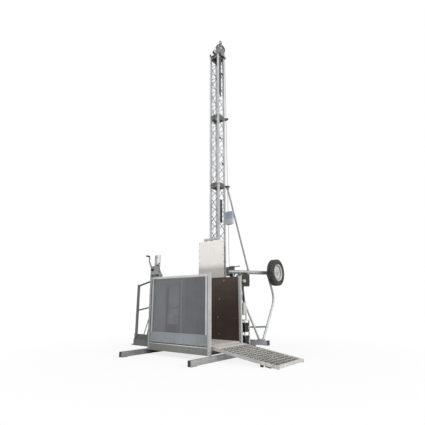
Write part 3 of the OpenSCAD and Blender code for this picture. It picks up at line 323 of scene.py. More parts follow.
def board_finish(name, tone, core, thin, wear):
    """Film-faced plywood: the veneers show on the edges, scuffs and drag marks on the faces.

    thin is the axis through the board, with the places of its two faces."""
    f = Finish(name)
    letter, low, high = thin
    depth = f.axis(letter)
    edge = f.ramp(depth, low + 0.0002, low + 0.0006) * f.ramp(depth, high - 0.0002, high - 0.0006)
    ply = 0.0016
    veneer = f.maths("PINGPONG", depth - low, ply) / ply
    grain = f.noise(1.0, 6.0, 0.65, f.stretched((1.6, 40.0, 40.0)))
    clouds = f.noise(2.2, 5.0, 0.6)
    base = f.mix(f.ramp(clouds * 0.5 + grain * 0.5, 0.3, 0.7), shade(tone, 0.72), shade(tone, 1.3))
    drag = f.ramp(f.noise(1.0, 3.0, 0.6, f.stretched((3.0, 60.0, 90.0), (0.0, 0.22, 0.0))), 0.63, 0.7)
    nicks = f.ramp(f.noise(1.0, 4.0, 0.7, f.stretched((70.0, 60.0, 9.0), (0.0, 0.1, 0.0))), 0.68, 0.73)
    base = f.mix((drag * 0.35 + nicks * 0.45) * wear, base, paint_tone(*core))
    base = f.mix(edge, base, f.mix(f.ramp(veneer, 0.35, 0.6), paint_tone(104, 78, 56), paint_tone(*core)))
    rough = 0.40 + clouds * 0.16 + drag * 0.18
    return f.skin(base, rough, 0.0, f.relief(grain * 0.5 - nicks * 0.8, 0.0006, 0.4))


def deck_finish(name, tone):
    """Worn floor board: pressed grip pattern, wheel tracks along the platform and trodden dirt."""
    f = Finish(name)
    grip = f.node("ShaderNodeTexVoronoi", {"feature": "DISTANCE_TO_EDGE"},
                  {"Vector": f.place, "Scale": 110.0}, "Distance")
    clouds = f.noise(2.8, 6.0, 0.62)
    tracks = f.noise(1.0, 4.0, 0.6, f.stretched((1.2, 16.0, 16.0)))
    base = f.mix(f.ramp(clouds * 0.5 + tracks * 0.5, 0.32, 0.68), shade(tone, 0.72), shade(tone, 1.14))
    dirt_and_painted_shade = f.ramp(f.noise(13.0, 6.0, 0.7), 0.55, 0.74)
    base = f.mix(dirt_and_painted_shade * 0.4, base, paint_tone(104, 94, 84))
    return f.skin(base, 0.52 + clouds * 0.2, 0.0, f.relief(f.ramp(grip, 0.0, 0.16), 0.0008, 0.5))


def sheet_finish(name, tone, low_tone, line):
    """Pale painted sheet, bright above a level and greyed below it as a painted reflection of the sky,
    with washed-down streaks and a few scrapes.
    """
    f = Finish(name)
    wash = f.noise(1.0, 4.0, 0.6, f.stretched((26.0, 26.0, 1.7)))
    clouds = f.noise(3.0, 5.0, 0.6)
    # Painted reflection: the sheet is lighter above the level and greyer below it.
    height = f.ramp(f.axis("Z") + clouds * 0.1, line, line + 0.12)
    light = f.mix(height, low_tone, tone)
    dark = f.mix(height, shade(low_tone, 0.82), shade(tone, 0.86))
    base = f.mix(f.ramp(wash * 0.55 + clouds * 0.45, 0.32, 0.7), dark, light)
    scrape = f.ramp(f.noise(1.0, 3.0, 0.6, f.stretched((9.0, 40.0, 70.0), (0.0, 0.5, 0.0))), 0.68, 0.72)
    base = f.mix(scrape * 0.4, base, paint_tone(150, 146, 138))
    dents = f.noise(4.2, 1.0, 0.4)
    return f.skin(base, 0.34 + clouds * 0.22, 0.0, f.relief(dents, 0.004, 0.25))


def oiled_steel(name, tone, rough=0.42):
    """Dark machined or cast steel with oil film and worn bright patches."""
    f = Finish(name)
    cast = f.noise(150.0, 5.0, 0.65)
    film = f.noise(11.0, 4.0, 0.6)
    worn = f.ramp(f.noise(28.0, 5.0, 0.7), 0.6, 0.72)
    base = f.mix(f.ramp(film, 0.3, 0.7), shade(tone, 0.72), shade(tone, 1.3))
    base = f.mix(worn * 0.3, base, shade(tone, 2.0))
    return f.skin(base, rough - 0.1 + film * 0.25, 0.6, f.relief(cast, 0.0006, 0.35))


def rope_finish(name, tone):
    """Wire rope: six strands laid round each other, each of fine wires, on the rope's own map."""
    f = Finish(name)
    lay = f.node("ShaderNodeUVMap")
    length, around = f.axis("X", lay), f.axis("Y", lay)
    strand = f.maths("SINE", (around * 6.0 + length * 6.0) * math.tau)
    wires = f.maths("SINE", (around * 30.0 - length * 12.0) * math.tau)
    grease = f.noise(30.0, 4.0, 0.6)
    crown = f.ramp(strand, -0.9, 0.7)
    base = f.mix(crown * (0.55 + 0.45 * grease), shade(tone, 0.32), shade(tone, 1.25))
    return f.skin(base, 0.34 + grease * 0.2, 0.7, f.relief(crown * 0.8 + wires * 0.12, 0.0012, 0.8))


def rubber_finish(name, tone, wheel=False):
    """Rubber, weathered grey; on a tyre also rings on the wall and sipes over the tread."""
    f = Finish(name)
    bloom = f.noise(7.0, 5.0, 0.65)
    grit = f.noise(330.0, 2.0)
    base = f.mix(f.ramp(bloom, 0.34, 0.7), shade(tone, 0.62), shade(tone, 1.5))
    height = grit * 0.12
    if wheel:
        east = abs(f.axis("X")) - WHEEL_X
        north = f.axis("Y") - WHEEL_Y
        up = f.axis("Z") - WHEEL_Z
        radius = (north * north + up * up) ** 0.5
        turn = f.maths("ARCTAN2", up, north)
        rings = f.maths("SINE", radius * 900.0)
        wall = f.ramp(radius, 0.232, 0.226)
        sipes = f.maths("SINE", turn * 62.0 + abs(east) * 90.0)
        tread = f.ramp(radius, 0.252, 0.258)
        height = height + wall * f.ramp(rings, 0.2, 0.8) * 0.25 + tread * f.ramp(sipes, 0.72, 0.9) * -0.8
        dust = tread * f.ramp(f.noise(18.0, 5.0, 0.7), 0.4, 0.65)
        base = f.mix(dust * 0.45, base, paint_tone(104, 98, 90))
    return f.skin(base, 0.62 + bloom * 0.22, 0.0, f.relief(height, 0.004, 0.6))


def plastic_finish(name, tone, rough=0.45):
    """Moulded black plastic with a fine grain and paler scuffs."""
    f = Finish(name)
    grain = f.noise(520.0, 2.0)
    scuff = f.ramp(f.noise(22.0, 6.0, 0.72), 0.56, 0.72)
    base = f.mix(scuff * 0.5, shade(tone, 0.85), shade(tone, 2.2))
    return f.skin(base, rough + scuff * 0.2, 0.0, f.relief(grain, 0.0004, 0.35))


def conduit_finish(name, tone, pitch):
    """Ribbed plastic conduit on its own map, dusty on the ribs."""
    f = Finish(name)
    lay = f.node("ShaderNodeUVMap")
    ribs = f.maths("SINE", f.axis("X", lay) * (math.tau * pitch))
    dust = f.noise(26.0, 5.0, 0.65)
    crest = f.ramp(ribs, -0.3, 0.8)
    base = f.mix(crest * dust, shade(tone, 0.6), shade(tone, 1.9))
    return f.skin(base, 0.42 + dust * 0.2, 0.0, f.relief(crest, 0.003, 0.9))


def turned_steel(name, tone):
    """Bright turned pins and plated bolts with a slight stain."""
    f = Finish(name)
    stain = f.noise(40.0, 5.0, 0.65)
    tool = f.noise(1.0, 2.0, 0.5, f.stretched((600.0, 600.0, 600.0)))
    base = f.mix(f.ramp(stain, 0.4, 0.72), tone, shade(tone, 0.55))
    return f.skin(base, 0.26 + stain * 0.25, 0.85, f.relief(tool, 0.0003, 0.3))


zinc = zinc_finish("galvanised_frame", paint_tone(172, 175, 176))
zinc_low = zinc_finish("galvanised_ground_frame", paint_tone(142, 144, 143), mud=0.34, rust=0.12)
zinc_mast = zinc_finish("galvanised_mast", paint_tone(178, 180, 182),
                        rods=(0.0855, paint_tone(112, 114, 116)))
zinc_arm = zinc_finish("galvanised_arms", paint_tone(142, 144, 145))
zinc_winch = zinc_finish("galvanised_hand_winch", paint_tone(170, 171, 171),
                         second=("Z", 1.535, 1.545, paint_tone(146, 147, 147)))
zinc_skirt = zinc_finish("galvanised_skirt", paint_tone(122, 124, 119), mud=0.34, rust=0.12)
# Posts and top rail turn darker towards -X: painted shade of the left side.
zinc_post = zinc_finish("bright_galvanised_posts", paint_tone(181, 181, 180), metal=0.45,
                        second=("X", -0.66, -0.3, paint_tone(140, 142, 145)))
zinc_rail = zinc_finish("galvanised_top_rail", paint_tone(194, 194, 194), metal=0.45,
                        second=("X", -0.62, -0.45, paint_tone(166, 168, 170)))
# The last tone of worn is painted shade inside the grating of the ramp.
zinc_ramp = zinc_finish("galvanised_ramp", paint_tone(218, 215, 209), mud=0.2, rust=0.2,
                        worn=((-1.0775, -0.3060, 1.811), 0.0105, (1.60, 1.50),
                              paint_tone(172, 171, 168), paint_tone(78, 76, 74)))
# The rear beam's very pale tone is painted light, raised to offset the shade the beam sits in.
zinc_rear = zinc_finish("galvanised_rear_beam", paint_tone(204, 208, 212),
                        cap=("X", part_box("rear_beam")[1].x - PLUG))
beam_wear = {"mud": 0.1, "rust": 0.2, "cap": ("Y", -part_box("left_outrigger")[0].y - PLUG)}
zinc_outrigger = zinc_finish("galvanised_outrigger", paint_tone(170, 172, 171), **beam_wear)
# The left outrigger takes a darker copy of the same finish: painted shade of the left side.
zinc_shaded_outrigger = zinc_finish("shaded_galvanised_outrigger", paint_tone(136, 137, 136), **beam_wear)
zinc_kick = zinc_finish("galvanised_kick_plate", paint_tone(136, 141, 144))
# The bridge's dark grey is partly its own tone and partly painted shade of the left side.
zinc_bridge = zinc_finish("galvanised_bridge", paint_tone(94, 97, 96), metal=0.45, rust=0.1)
wire_zinc = zinc_finish("woven_wire", paint_tone(101, 103, 107), metal=0.35)
olive = coat_finish("olive_collar_paint", paint_tone(76, 77, 66), chips=0.6)
head_grey = coat_finish("grey_head_paint", paint_tone(62, 62, 58), chips=0.5, dust=0.15)
housing_paint = coat_finish("winch_housing_paint", paint_tone(30, 30, 25), chips=0.18, dust=0.03, rough=0.58)
box_blue = coat_finish("switch_box_paint", paint_tone(144, 154, 167), chips=0.25, rough=0.4,
                       second=(2.568, paint_tone(178, 177, 179)))
cabinet_grey = coat_finish("cabinet_paint", paint_tone(194, 193, 188), chips=0.3, rough=0.42)
channel_grey = coat_finish("cable_channel_paint", paint_tone(52, 56, 60), chips=0.3)
cream = coat_finish("motor_cream_paint", paint_tone(184, 178, 158), chips=0.35, rough=0.42)
rim_pale = coat_finish("rim_paint", paint_tone(178, 175, 175), chips=0.45, dust=0.35, rough=0.4)
strip_pale = coat_finish("winch_strip_paint", paint_tone(236, 235, 232), chips=0.2, dust=0.1)
rack_pale = coat_finish("rack_paint", paint_tone(208, 206, 200), chips=0.4)
brown_ply = board_finish("brown_plywood", paint_tone(60, 47, 41), (150, 118, 86),
                         ("Y", WALL_FRONT, WALL_BACK), 0.7)
pale_deck = deck_finish("pale_floor_board", paint_tone(203, 196, 190))
pale_sheet = sheet_finish("pale_guard_sheet", paint_tone(252, 246, 240), paint_tone(198, 194, 188), 1.56)
oil_dark = oiled_steel("dark_oiled_steel", paint_tone(52, 52, 49))
oil_mid = oiled_steel("worn_machine_steel", paint_tone(122, 122, 118), 0.4)
rope_steel = rope_finish("stranded_rope", paint_tone(54, 55, 56))
tyre_black = rubber_finish("tyre_rubber", paint_tone(44, 42, 40), wheel=True)
buffer_black = rubber_finish("buffer_rubber", paint_tone(38, 37, 36))
conduit_black = conduit_finish("ribbed_conduit", paint_tone(24, 24, 25), 8.0)
black_plastic = plastic_finish("black_plastic", paint_tone(28, 28, 28))
unit_black = plastic_finish("unit_housing", paint_tone(40, 41, 43), 0.5)
bright_pin = turned_steel("bright_pins", paint_tone(190, 190, 186))
plated_bolt = turned_steel("plated_bolts", paint_tone(162, 160, 150))

finishes = {
    "base_frame": zinc_low, "outrigger_sleeves": zinc_low, "base_rails": zinc_low,
    "rear_beam": zinc_rear, "landing_buffers": buffer_black, "mast_section_1": zinc_mast,
    "mast_section_2": zinc_mast, "mast_section_3": zinc_mast, "mast_section_4": zinc_mast,
    "mast_collars": olive, "mast_head": head_grey, "pulley_pins": bright_pin, "switch_box": box_blue,
    "limit_cam": black_plastic, "wheel_arms": zinc_arm, "mast_stays": zinc_arm, "bow_tubes": zinc,
    "rear_struts": zinc, "winch_housing": housing_paint, "winch_motor": cream, "winch_hanger": zinc,
    "pulley_bracket": oil_dark, "equipment_rack": rack_pale, "equipment_units": unit_black,
    "control_cabinet": cabinet_grey, "winch_drum": oil_mid, "front_sheave": oil_dark,
    "rear_sheave": oil_dark, "guide_pulley": oil_dark, "brake_release_lever": oil_dark,
    "left_outrigger": zinc_shaded_outrigger, "right_outrigger": zinc_outrigger, "left_rim": rim_pale,
    "right_rim": rim_pale, "left_tyre": tyre_black, "right_tyre": tyre_black,
    "platform_floor": pale_deck, "floor_beams": zinc_skirt, "platform_posts": zinc_post,
    "front_top_rail": zinc_rail, "kick_plate": zinc_kick, "plywood_wall": brown_ply,
    "guard_plate": pale_sheet, "carriage_rails": zinc, "carriage_ties": zinc,
    "upper_guide_rollers": black_plastic, "lower_guide_rollers": black_plastic, "hinge_rods": zinc_low,
    "loading_ramp": zinc_ramp, "bridge_deck": zinc_bridge, "bridge_guards": zinc_bridge,
    "hand_winch_bracket": zinc_winch, "hand_crank": oil_dark, "crank_grip": black_plastic,
    "cable_channel": channel_grey,
}
for node, finish in finishes.items():
    for slot in frame["nodes"][node].material_slots:
        slot.material = finish


def facing(at, along):
    """Transform that turns +Z to look along a direction from a point."""
    return Matrix.Translation(at) @ Vector(along).to_track_quat("Z", "Y").to_matrix().to_4x4()


def block(bm, low, high, edge, turn=None):
    """Block with rounded edges between two corners."""
    verts = bmesh.ops.create_cube(bm, size=1.0)["verts"]
    low, high = Vector(low), Vector(high)
    bmesh.ops.scale(bm, vec=high - low, verts=verts)
    bmesh.ops.translate(bm, vec=(low + high) / 2, verts=verts)
    if turn is not None:
        bmesh.ops.transform(bm, matrix=turn, verts=verts)
    if edge:
        lines = list(dict.fromkeys(line for vert in verts for line in vert.link_edges))
        bmesh.ops.bevel(bm, geom=lines, offset=edge, affect="EDGES", segments=2, profile=0.5, material=-1)


def bar(bm, start, end, radius, sides=16):
    """Round bar between two points."""
    start, end = Vector(start), Vector(end)
    bmesh.ops.create_cone(bm, cap_ends=True, segments=sides, radius1=radius, radius2=radius,
                          depth=(end - start).length, matrix=facing((start + end) / 2, end - start))


def turned(bm, outline, at, along, steps=32):
    """Turned piece: an outline of radius and height, spun round a direction from a point."""
    place = facing(at, along)
    knots = [bm.verts.new(place @ Vector((radius, 0.0, high))) for radius, high in outline]
    lines = [bm.edges.new(pair) for pair in zip(knots, knots[1:])]
    bmesh.ops.spin(bm, geom=knots + lines, cent=Vector(at), axis=Vector(along).normalized(), angle=math.tau,
                   steps=steps, use_merge=True)


def bolt(bm, at, along, across, high):
    """Hexagon head on its washer."""
    washer = (12, across * 0.82, across * 0.80, 0.003, 0.0012)
    hexagon = (6, across * 0.577, across * 0.53, high, 0.002 + high / 2)
    for sides, foot, top, depth, middle in (washer, hexagon):
        bmesh.ops.create_cone(bm, cap_ends=True, segments=sides, radius1=foot, radius2=top, depth=depth,
                              matrix=facing(at, along) @ Matrix.Translation((0.0, 0.0, middle)))


def dome(bm, at, along, radius, high):
    """Round-headed screw."""
    crown = [(0.0, high), (radius * 0.5, high * 0.93), (radius * 0.86, high * 0.6)]
    turned(bm, crown + [(radius, 0.0005), (radius, -0.001)], at, along, 12)


def piece(name, bm, finish, body, stands_for=()):
    """Ends a piece: closes its seams, turns its faces out, and lets it ride on its body."""
    bmesh.ops.remove_doubles(bm, verts=bm.verts, dist=1e-6)
    bmesh.ops.recalc_face_normals(bm, faces=bm.faces)
    mesh = bpy.data.meshes.new(name)
    bm.to_mesh(mesh)
    bm.free()
    mesh.shade_smooth()
    mesh.set_sharp_from_angle(angle=math.radians(38.0))
    return place_mesh(name, mesh, finish, body, stands_for)


def place_mesh(name, mesh, finish, body, stands_for=()):
    """Gives a mesh its finish and the body that it belongs to, and hides the parts that it stands for."""
    mesh.materials.clear()
    mesh.materials.append(finish)
    made = bpy.data.objects.new(name, mesh)
    scene.collection.objects.link(made)
    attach(made, body)
    if stands_for:
        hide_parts(*stands_for)
    return made


def laid_rope(name, points, radius, finish, body, stands_for, sides=3):
    """Rope or cable along a route, with a map of its length and its girth."""
    route = bpy.data.curves.new(name, "CURVE")
    route.dimensions = "3D"
    route.bevel_depth = radius
    route.bevel_resolution = sides
    route.use_fill_caps = True
    line = route.splines.new("POLY")
    line.points.add(len(points) - 1)
    for knot, at in zip(line.points, points):
        knot.co = (*at, 1.0)
    holder = bpy.data.objects.new(name + "_route", route)
    scene.collection.objects.link(holder)
    bpy.context.view_layer.update()
    mesh = bpy.data.meshes.new_from_object(holder.evaluated_get(bpy.context.evaluated_depsgraph_get()))
    mesh.name = name
    bpy.data.objects.remove(holder)
    whole = sum((Vector(b) - Vector(a)).length for a, b in zip(points, points[1:]))
    for layer in mesh.uv_layers:
        for corner in layer.data:
            corner.uv.x *= whole / ROPE_LAY
    mesh.shade_smooth()
    return place_mesh(name, mesh, finish, body, stands_for)


def arc(first, last):
    """Angles from one to another, in steps of six degrees or less."""
    count = math.ceil(abs(last - first) / 6.0)
    return [math.radians(first + (last - first) * k / count) for k in range(count + 1)]


def rim(s, z, radius, a):
    """Place at an angle on the rim of a wheel, along and up."""
    return s + radius * math.cos(a), z + radius * math.sin(a)


# Rope: over the head, down behind the mast, under the guide pulley and onto the drum. Its turns on the drum
# start at an angle in degrees
drum_start, drum_turns, turn_steps = -60.0, 5, 24
top_s, top_z = REAR_S - FRONT_R, REAR_Z - FRONT_Z
top_lean = math.acos((FRONT_R - REAR_R) / math.hypot(top_s, top_z))
top_turn = math.degrees(math.atan2(top_z, top_s) + top_lean)
run = [on_head(*rim(FRONT_R, FRONT_Z, FRONT_R, a)) for a in arc(180.0, top_turn)]
run += [on_head(*rim(REAR_S, REAR_Z, REAR_R, a)) for a in arc(top_turn, 0.0)]
low_rims = [rim(GUIDE_S, GUIDE_Z, GUIDE_R, a) for a in arc(180.0, 270.0)]
low_rims += [rim(DRUM_S, DRUM_Z, DRUM_R, a) for a in arc(90.0, drum_start)]
run += [on_arm(s, ROPE_T, z) for s, z in low_rims]
laid_rope("rope_run", run, ROPE_R, rope_steel, "base", ["hoist_rope_run"])

wound = []
for i in range(drum_turns * turn_steps + 1):
    s, z = rim(DRUM_S, DRUM_Z, DRUM_R, math.radians(drum_start - i * 360.0 / turn_steps))
    wound.append(on_arm(s, ROPE_T - DRUM_PITCH - DRUM_PITCH * i / turn_steps, z))
laid_rope("drum_rope_turns", wound, ROPE_R, rope_steel, "drum", ["drum_rope"])

fall_l = FRONT_Z - ANCHOR_TOP
fall_steps = 60
drop = [Vector((0.0, LIFT_Y, ANCHOR_TOP + fall_l * k / fall_steps)) for k in range(fall_steps + 1)]
fall = laid_rope("rope_fall", drop, ROPE_R, rope_steel, "base", ["hoist_rope_fall"])
(fall_l - 4.0) / fall_l
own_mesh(fall)

# Conduit from the winch motor down to the cabinet, a smooth curve through six points
bend = [on_arm(0.310, 0.074, z) for z in (1.240, 1.200, 1.130)]
bend += [Vector((0.410, 0.300, z)) for z in (0.960, 0.890, 0.850)]
conduit = []
for a, b, c, d in zip(bend, bend[1:], bend[2:], bend[3:]):
    for k in range(8):
        u = k / 8
        square = (2 * a - 5 * b + 4 * c - d) * u * u
        cube = (3 * b - a - 3 * c + d) * u ** 3
        conduit.append(0.5 * (2 * b + (c - a) * u + square + cube))
conduit.append(bend[-2])
laid_rope("motor_cable_conduit", conduit, 0.020, conduit_black, "base", ["motor_cable"],
          sides=5)

# Woven wire in the front panel, tucked into its frame
wire_pitch, wire_half, tuck = 0.009, 0.0031, 0.002
bottom, top = mesh_low.z - tuck, mesh_high.z + tuck
bm = bmesh.new()
for k in range(round((mesh_high.x - mesh_low.x) / wire_pitch)):
    x = mesh_low.x + 0.005 + k * wire_pitch
    block(bm, (x - wire_half, FRONT_Y - 0.0002, bottom), (x + wire_half, FRONT_Y + 0.0014, top), 0.0)
for k in range(round((mesh_high.z - mesh_low.z) / wire_pitch) + 1):
    z = mesh_low.z + 0.0025 + k * wire_pitch
    block(bm, (-STILE_IN, FRONT_Y - 0.0014, z - wire_half), (STILE_IN, FRONT_Y + 0.0002, z + wire_half), 0.0)
piece("front_wire_panel", bm, wire_zinc, "platform", stands_for=["front_mesh"])

# Bolts of the mast joints and head
flange = 0.025
bm = bmesh.new()
for level in [z + dz for z in JOINTS for dz in (-flange, JOINT_T + flange)] + [MAST_TOP - 0.045]:
    for way in range(4):
        turn = Matrix.Rotation(way * math.pi / 2, 3, "Z")
        for side in (-0.046, 0.046):
            bolt(bm, turn @ Vector((side, -WEB_FACE, level)), turn @ Vector((0.0, -1.0, 0.0)), 0.022, 0.010)
piece("mast_joint_bolts", bm, plated_bolt, "base")

# Cable clamps in the right face of the mast, the first inside its lacing
bm = bmesh.new()
block(bm, (0.083, -0.040, 4.372), (0.0960, 0.014, 4.420), 0.003)
block(bm, (0.0938, -0.0855, 4.390), (0.0968, 0.0855, 4.402), 0.0008)
for z in (3.790, 6.015):
    block(bm, (0.1105, 0.004, z - 0.026), (0.124, 0.052, z + 0.026), 0.003)
    block(bm, (0.1092, 0.000, z - 0.006), (0.1120, 0.0880, z + 0.006), 0.0008)
piece("cable_clamps", bm, oil_dark, "base")

# Screws of the guard sheet, kick plate and plywood wall
sheet_low, sheet_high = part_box("guard_plate")
bm = bmesh.new()
for x in (sheet_low.x + 0.019, sheet_high.x - 0.019):
    for k in range(6):
        dome(bm, (x, sheet_low.y, WALL_TOP + 0.04 + k * 0.13), (0, -1, 0), 0.009, 0.004)
piece("guard_sheet_screws", bm, plated_bolt, "platform")
kick_low, kick_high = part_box("kick_plate")
bm = bmesh.new()
for k in range(8):
    for z in (kick_high.z - 0.018, kick_low.z + 0.019):
        dome(bm, (-0.595 + k * 0.17, kick_low.y, z), (0, -1, 0), 0.008, 0.004)
piece("kick_plate_screws", bm, plated_bolt, "platform")
bm = bmesh.new()
spots = [(side * x, z) for side in (1, -1) for x, z in ((0.213, 0.949), (0.194, 0.323), (0.312, 1.278))]
for x, z in spots + [(0.165, 0.62), (-0.165, 0.62)]:
    dome(bm, (x, WALL_FRONT, z), (0, -1, 0), 0.013, 0.006)
piece("plywood_coach_bolts", bm, plated_bolt, "platform")

# Painted shade: dark strips beside the front posts and under the kick plate; and the flat along the skirt
bm = bmesh.new()
shadow_strip_low, shadow_strip_high = mesh_low.z + 0.002, mesh_high.z
for x in (kick_low.x + 0.0005, kick_high.x - 0.014):
    block(bm, (x, FRONT_Y - 0.0185, shadow_strip_low), (x + 0.0135, FRONT_Y - 0.0155, shadow_strip_high), 0.0008)
half, foot = kick_high.x - 0.0025, kick_low.z
block(bm, (-half, FRONT_Y - 0.0170, foot + 0.001), (half, FRONT_Y - 0.0135, foot + 0.012), 0.0008)
piece("front_wall_shadow_strips", bm, buffer_black, "platform")
# The flat wears the pale top-rail finish: a painted highlight for the light along the skirt's edge.
bm = bmesh.new()
block(bm, (-half, FRONT_Y - 0.0240, foot - 0.015), (half, FRONT_Y - 0.0195, foot - 0.0015), 0.001)
piece("skirt_flat", bm, zinc_rail, "platform")

# Caps of the platform posts
post_low, post_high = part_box("platform_posts")
half = POST_HALF - 0.0005
bm = bmesh.new()
for x in (post_low.x + POST_HALF, post_high.x - POST_HALF):
    for y in (post_low.y + POST_HALF, post_high.y - POST_HALF):
        block(bm, (x - half, y - half, WALL_TOP), (x + half, y + half, WALL_TOP + 0.006), 0.002)
piece("post_caps", bm, zinc_post, "platform")

# Shoulder lugs of the tyres and caps of the hubs
lugs = 46
hub_outline = [(0.0, 0.058), (0.020, 0.057), (0.030, 0.052), (0.034, 0.044), (0.034, 0.029)]
for name, side in (("left", -1), ("right", 1)):
    bm = bmesh.new()
    hub = Vector((side * WHEEL_X, WHEEL_Y, WHEEL_Z))
    for k in range(lugs):
        for row in (-1, 1):
            turn = Matrix.Translation(hub) @ Matrix.Rotation(math.tau * (k + 0.25 * row) / lugs, 4, "X")
            mid = row * 0.048
            block(bm, (mid - 0.014, -0.0125, 0.258), (mid + 0.014, 0.0125, 0.2675), 0.002, turn)
    piece(name + "_tyre_lugs", bm, tyre_black, name + "_road_wheel")
    bm = bmesh.new()
    turned(bm, hub_outline, hub, (side, 0, 0))
    piece(name + "_hub_cap", bm, rim_pale, name + "_road_wheel")

# Rope clips over the rope socket on the carriage
bm = bmesh.new()
for k in range(3):
    z = ANCHOR_TOP + 0.025 + k * 0.060
    block(bm, (-0.013, LIFT_Y - 0.020, z - 0.007), (0.013, LIFT_Y - 0.0045, z + 0.007), 0.002)
    for side in (-0.0085, 0.0085):
        bar(bm, (side, LIFT_Y - 0.026, z), (side, LIFT_Y + 0.010, z), 0.0028, 10)
        bolt(bm, (side, LIFT_Y - 0.020, z), (0, -1, 0), 0.010, 0.005)
piece("rope_clips", bm, plated_bolt, "platform")

# Lids, hinges, lock and screws of the control cabinet and of the switch box
low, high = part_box("control_cabinet")
side_lid = (high.x - 0.005, low.y + 0.010, low.z + 0.078), (high.x + 0.002, high.y - 0.008, high.z - 0.008)
front_lid = (low.x + 0.007, low.y - 0.003, low.z + 0.012), (high.x - 0.007, low.y + 0.0005, high.z - 0.006)
bm = bmesh.new()
for corners in (side_lid, front_lid):
    block(bm, *corners, 0.002)
piece("cabinet_lids", bm, cabinet_grey, "base")
bm = bmesh.new()
hinge_x, hinge_y = low.x + 0.011, low.y - 0.0035
for z in (low.z + 0.050, high.z - 0.040):
    bar(bm, (hinge_x, hinge_y, z - 0.014), (hinge_x, hinge_y, z + 0.014), 0.0035, 10)
lock = [(0.0, 0.007), (0.008, 0.0065), (0.010, 0.004), (0.010, -0.001)]
turned(bm, lock, (high.x - 0.017, low.y - 0.0025, low.z + 0.130), (0, -1, 0), 20)
piece("cabinet_lock_and_hinges", bm, plated_bolt, "base")
low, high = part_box("switch_box")
lid_low, lid_high, lid_x = low.z + 0.030, high.z - 0.022, high.x + 0.0025
bm = bmesh.new()
block(bm, (low.x + 0.012, high.y - 0.0025, lid_low), (high.x - 0.012, high.y + 0.003, lid_high), 0.002)
block(bm, (high.x - 0.0015, low.y + 0.008, lid_low), (lid_x, high.y - 0.007, lid_high), 0.0015)
piece("switch_box_lids", bm, box_blue, "base")
bm = bmesh.new()
for z in (lid_low + 0.008, lid_high - 0.008):
    for y in (low.y + 0.014, high.y - 0.013):
        dome(bm, (lid_x, y, z), (1, 0, 0), 0.0045, 0.003)
piece("switch_box_screws", bm, plated_bolt, "base")

# Bolts of the hand winch
low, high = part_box("hand_winch_bracket")
bm = bmesh.new()
for dx in (0.024, 0.088, 0.128):
    bolt(bm, (low.x + dx, low.y, low.z + 0.036), (0, -1, 0), 0.015, 0.006)
for dx in (0.048, 0.113):
    for z in (high.z - 0.175, high.z - 0.045):
        bolt(bm, (low.x + dx, COLUMN_FACE, z), (0, -1, 0), 0.013, 0.005)
piece("hand_winch_bolts", bm, plated_bolt, "platform")

# Apron over the sloping side of the hand winch, dark plate along its foot, sleeves on its crank, strip on its
# column and rope guard at the column's foot
slope = [(high.x - dx, low.z + dz) for dx, dz in ((0.0, 0.014), (0.068, 0.109), (0.102, 0.204))]
bm = bmesh.new()
for (x0, z0), (x1, z1) in zip(slope, slope[1:]):
    half = math.hypot(x1 - x0, z1 - z0) / 2 - 0.001
    lean = Matrix.Translation(((x0 + x1) / 2, 0.0, (z0 + z1) / 2))
    lean = lean @ Matrix.Rotation(math.atan2(x1 - x0, z1 - z0), 4, "Y")
    block(bm, (-0.0045, FRONT_Y - 0.0325, -half), (-0.0010, FRONT_Y + 0.0325, half), 0.0005, lean)
piece("hand_winch_apron", bm, zinc_skirt, "platform")
bm = bmesh.new()
dark_foot_low = (low.x + 0.033, low.y - 0.0025, low.z + 0.017)
block(bm, dark_foot_low, (high.x - 0.028, low.y + 0.0005, low.z + 0.050), 0.001)
piece("hand_winch_dark_foot", bm, oil_dark, "platform")
bm = bmesh.new()
sleeve_r = 0.0135
bar(bm, (CRANK_X, FRONT_Y - 0.074, CRANK_Z + 0.040), (CRANK_X, FRONT_Y - 0.1225, CRANK_Z + 0.139), sleeve_r)
bar(bm, (CRANK_X, CRANK_OUT, CRANK_Z + 0.162), (CRANK_X, CRANK_OUT, CRANK_Z + 0.220), sleeve_r)
piece("crank_sleeves", bm, oil_mid, "crank")
bm = bmesh.new()
strip_low = (low.x + 0.094, COLUMN_FACE - 0.0027, high.z - 0.204)
block(bm, strip_low, (low.x + 0.160, COLUMN_FACE + 0.0005, high.z - 0.006), 0.001)
piece("hand_winch_strip", bm, strip_pale, "platform")
bm = bmesh.new()
guard_low = (low.x + 0.076, FRONT_Y + 0.008, high.z - 0.2105)
block(bm, guard_low, (low.x + 0.143, FRONT_Y + 0.026, high.z - 0.188), 0.003)
arm_foot = (low.x + 0.132, FRONT_Y + 0.017, high.z - 0.198)
bar(bm, arm_foot, (low.x + 0.166, FRONT_Y + 0.017, high.z - 0.154), 0.006, 12)
piece("hand_winch_rope_guard", bm, oil_dark, "platform")

# Ribs on the toe board of the bridge
low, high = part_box("bridge_guards")
bm = bmesh.new()
for k in range(9):
    z = low.z + 0.006 + k * 0.0095
    block(bm, (low.x + 0.005, low.y + 0.0195, z - 0.003), (high.x - 0.005, low.y + 0.0233, z + 0.003), 0.0008)
piece("toe_board_ribs", bm, zinc_bridge, "bridge")

# Bolts of the arm brackets, of the feet on the rear beam and of the mast foot
low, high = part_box("rear_beam")
bm = bmesh.new()
for side in (-1, 1):
    for x in (0.086, 0.169):
        for dz in (-0.068, 0.068):
            bolt(bm, (side * x, MAST_HALF + 0.010, WHEEL_Z + dz), (0, 1, 0), 0.020, 0.009)
    for x in (0.565, 0.640):
        for dx in (-0.026, 0.026):
            for y in (low.y + 0.012, high.y - 0.012):
                bolt(bm, (side * x + dx, y, high.z + 0.010), (0, 0, 1), 0.013, 0.007)
    for y in (-0.140, 0.140):
        bolt(bm, (side * 0.137, y, MAST_FOOT), (0, 0, 1), 0.018, 0.009)
piece("frame_bolts", bm, plated_bolt, "base")

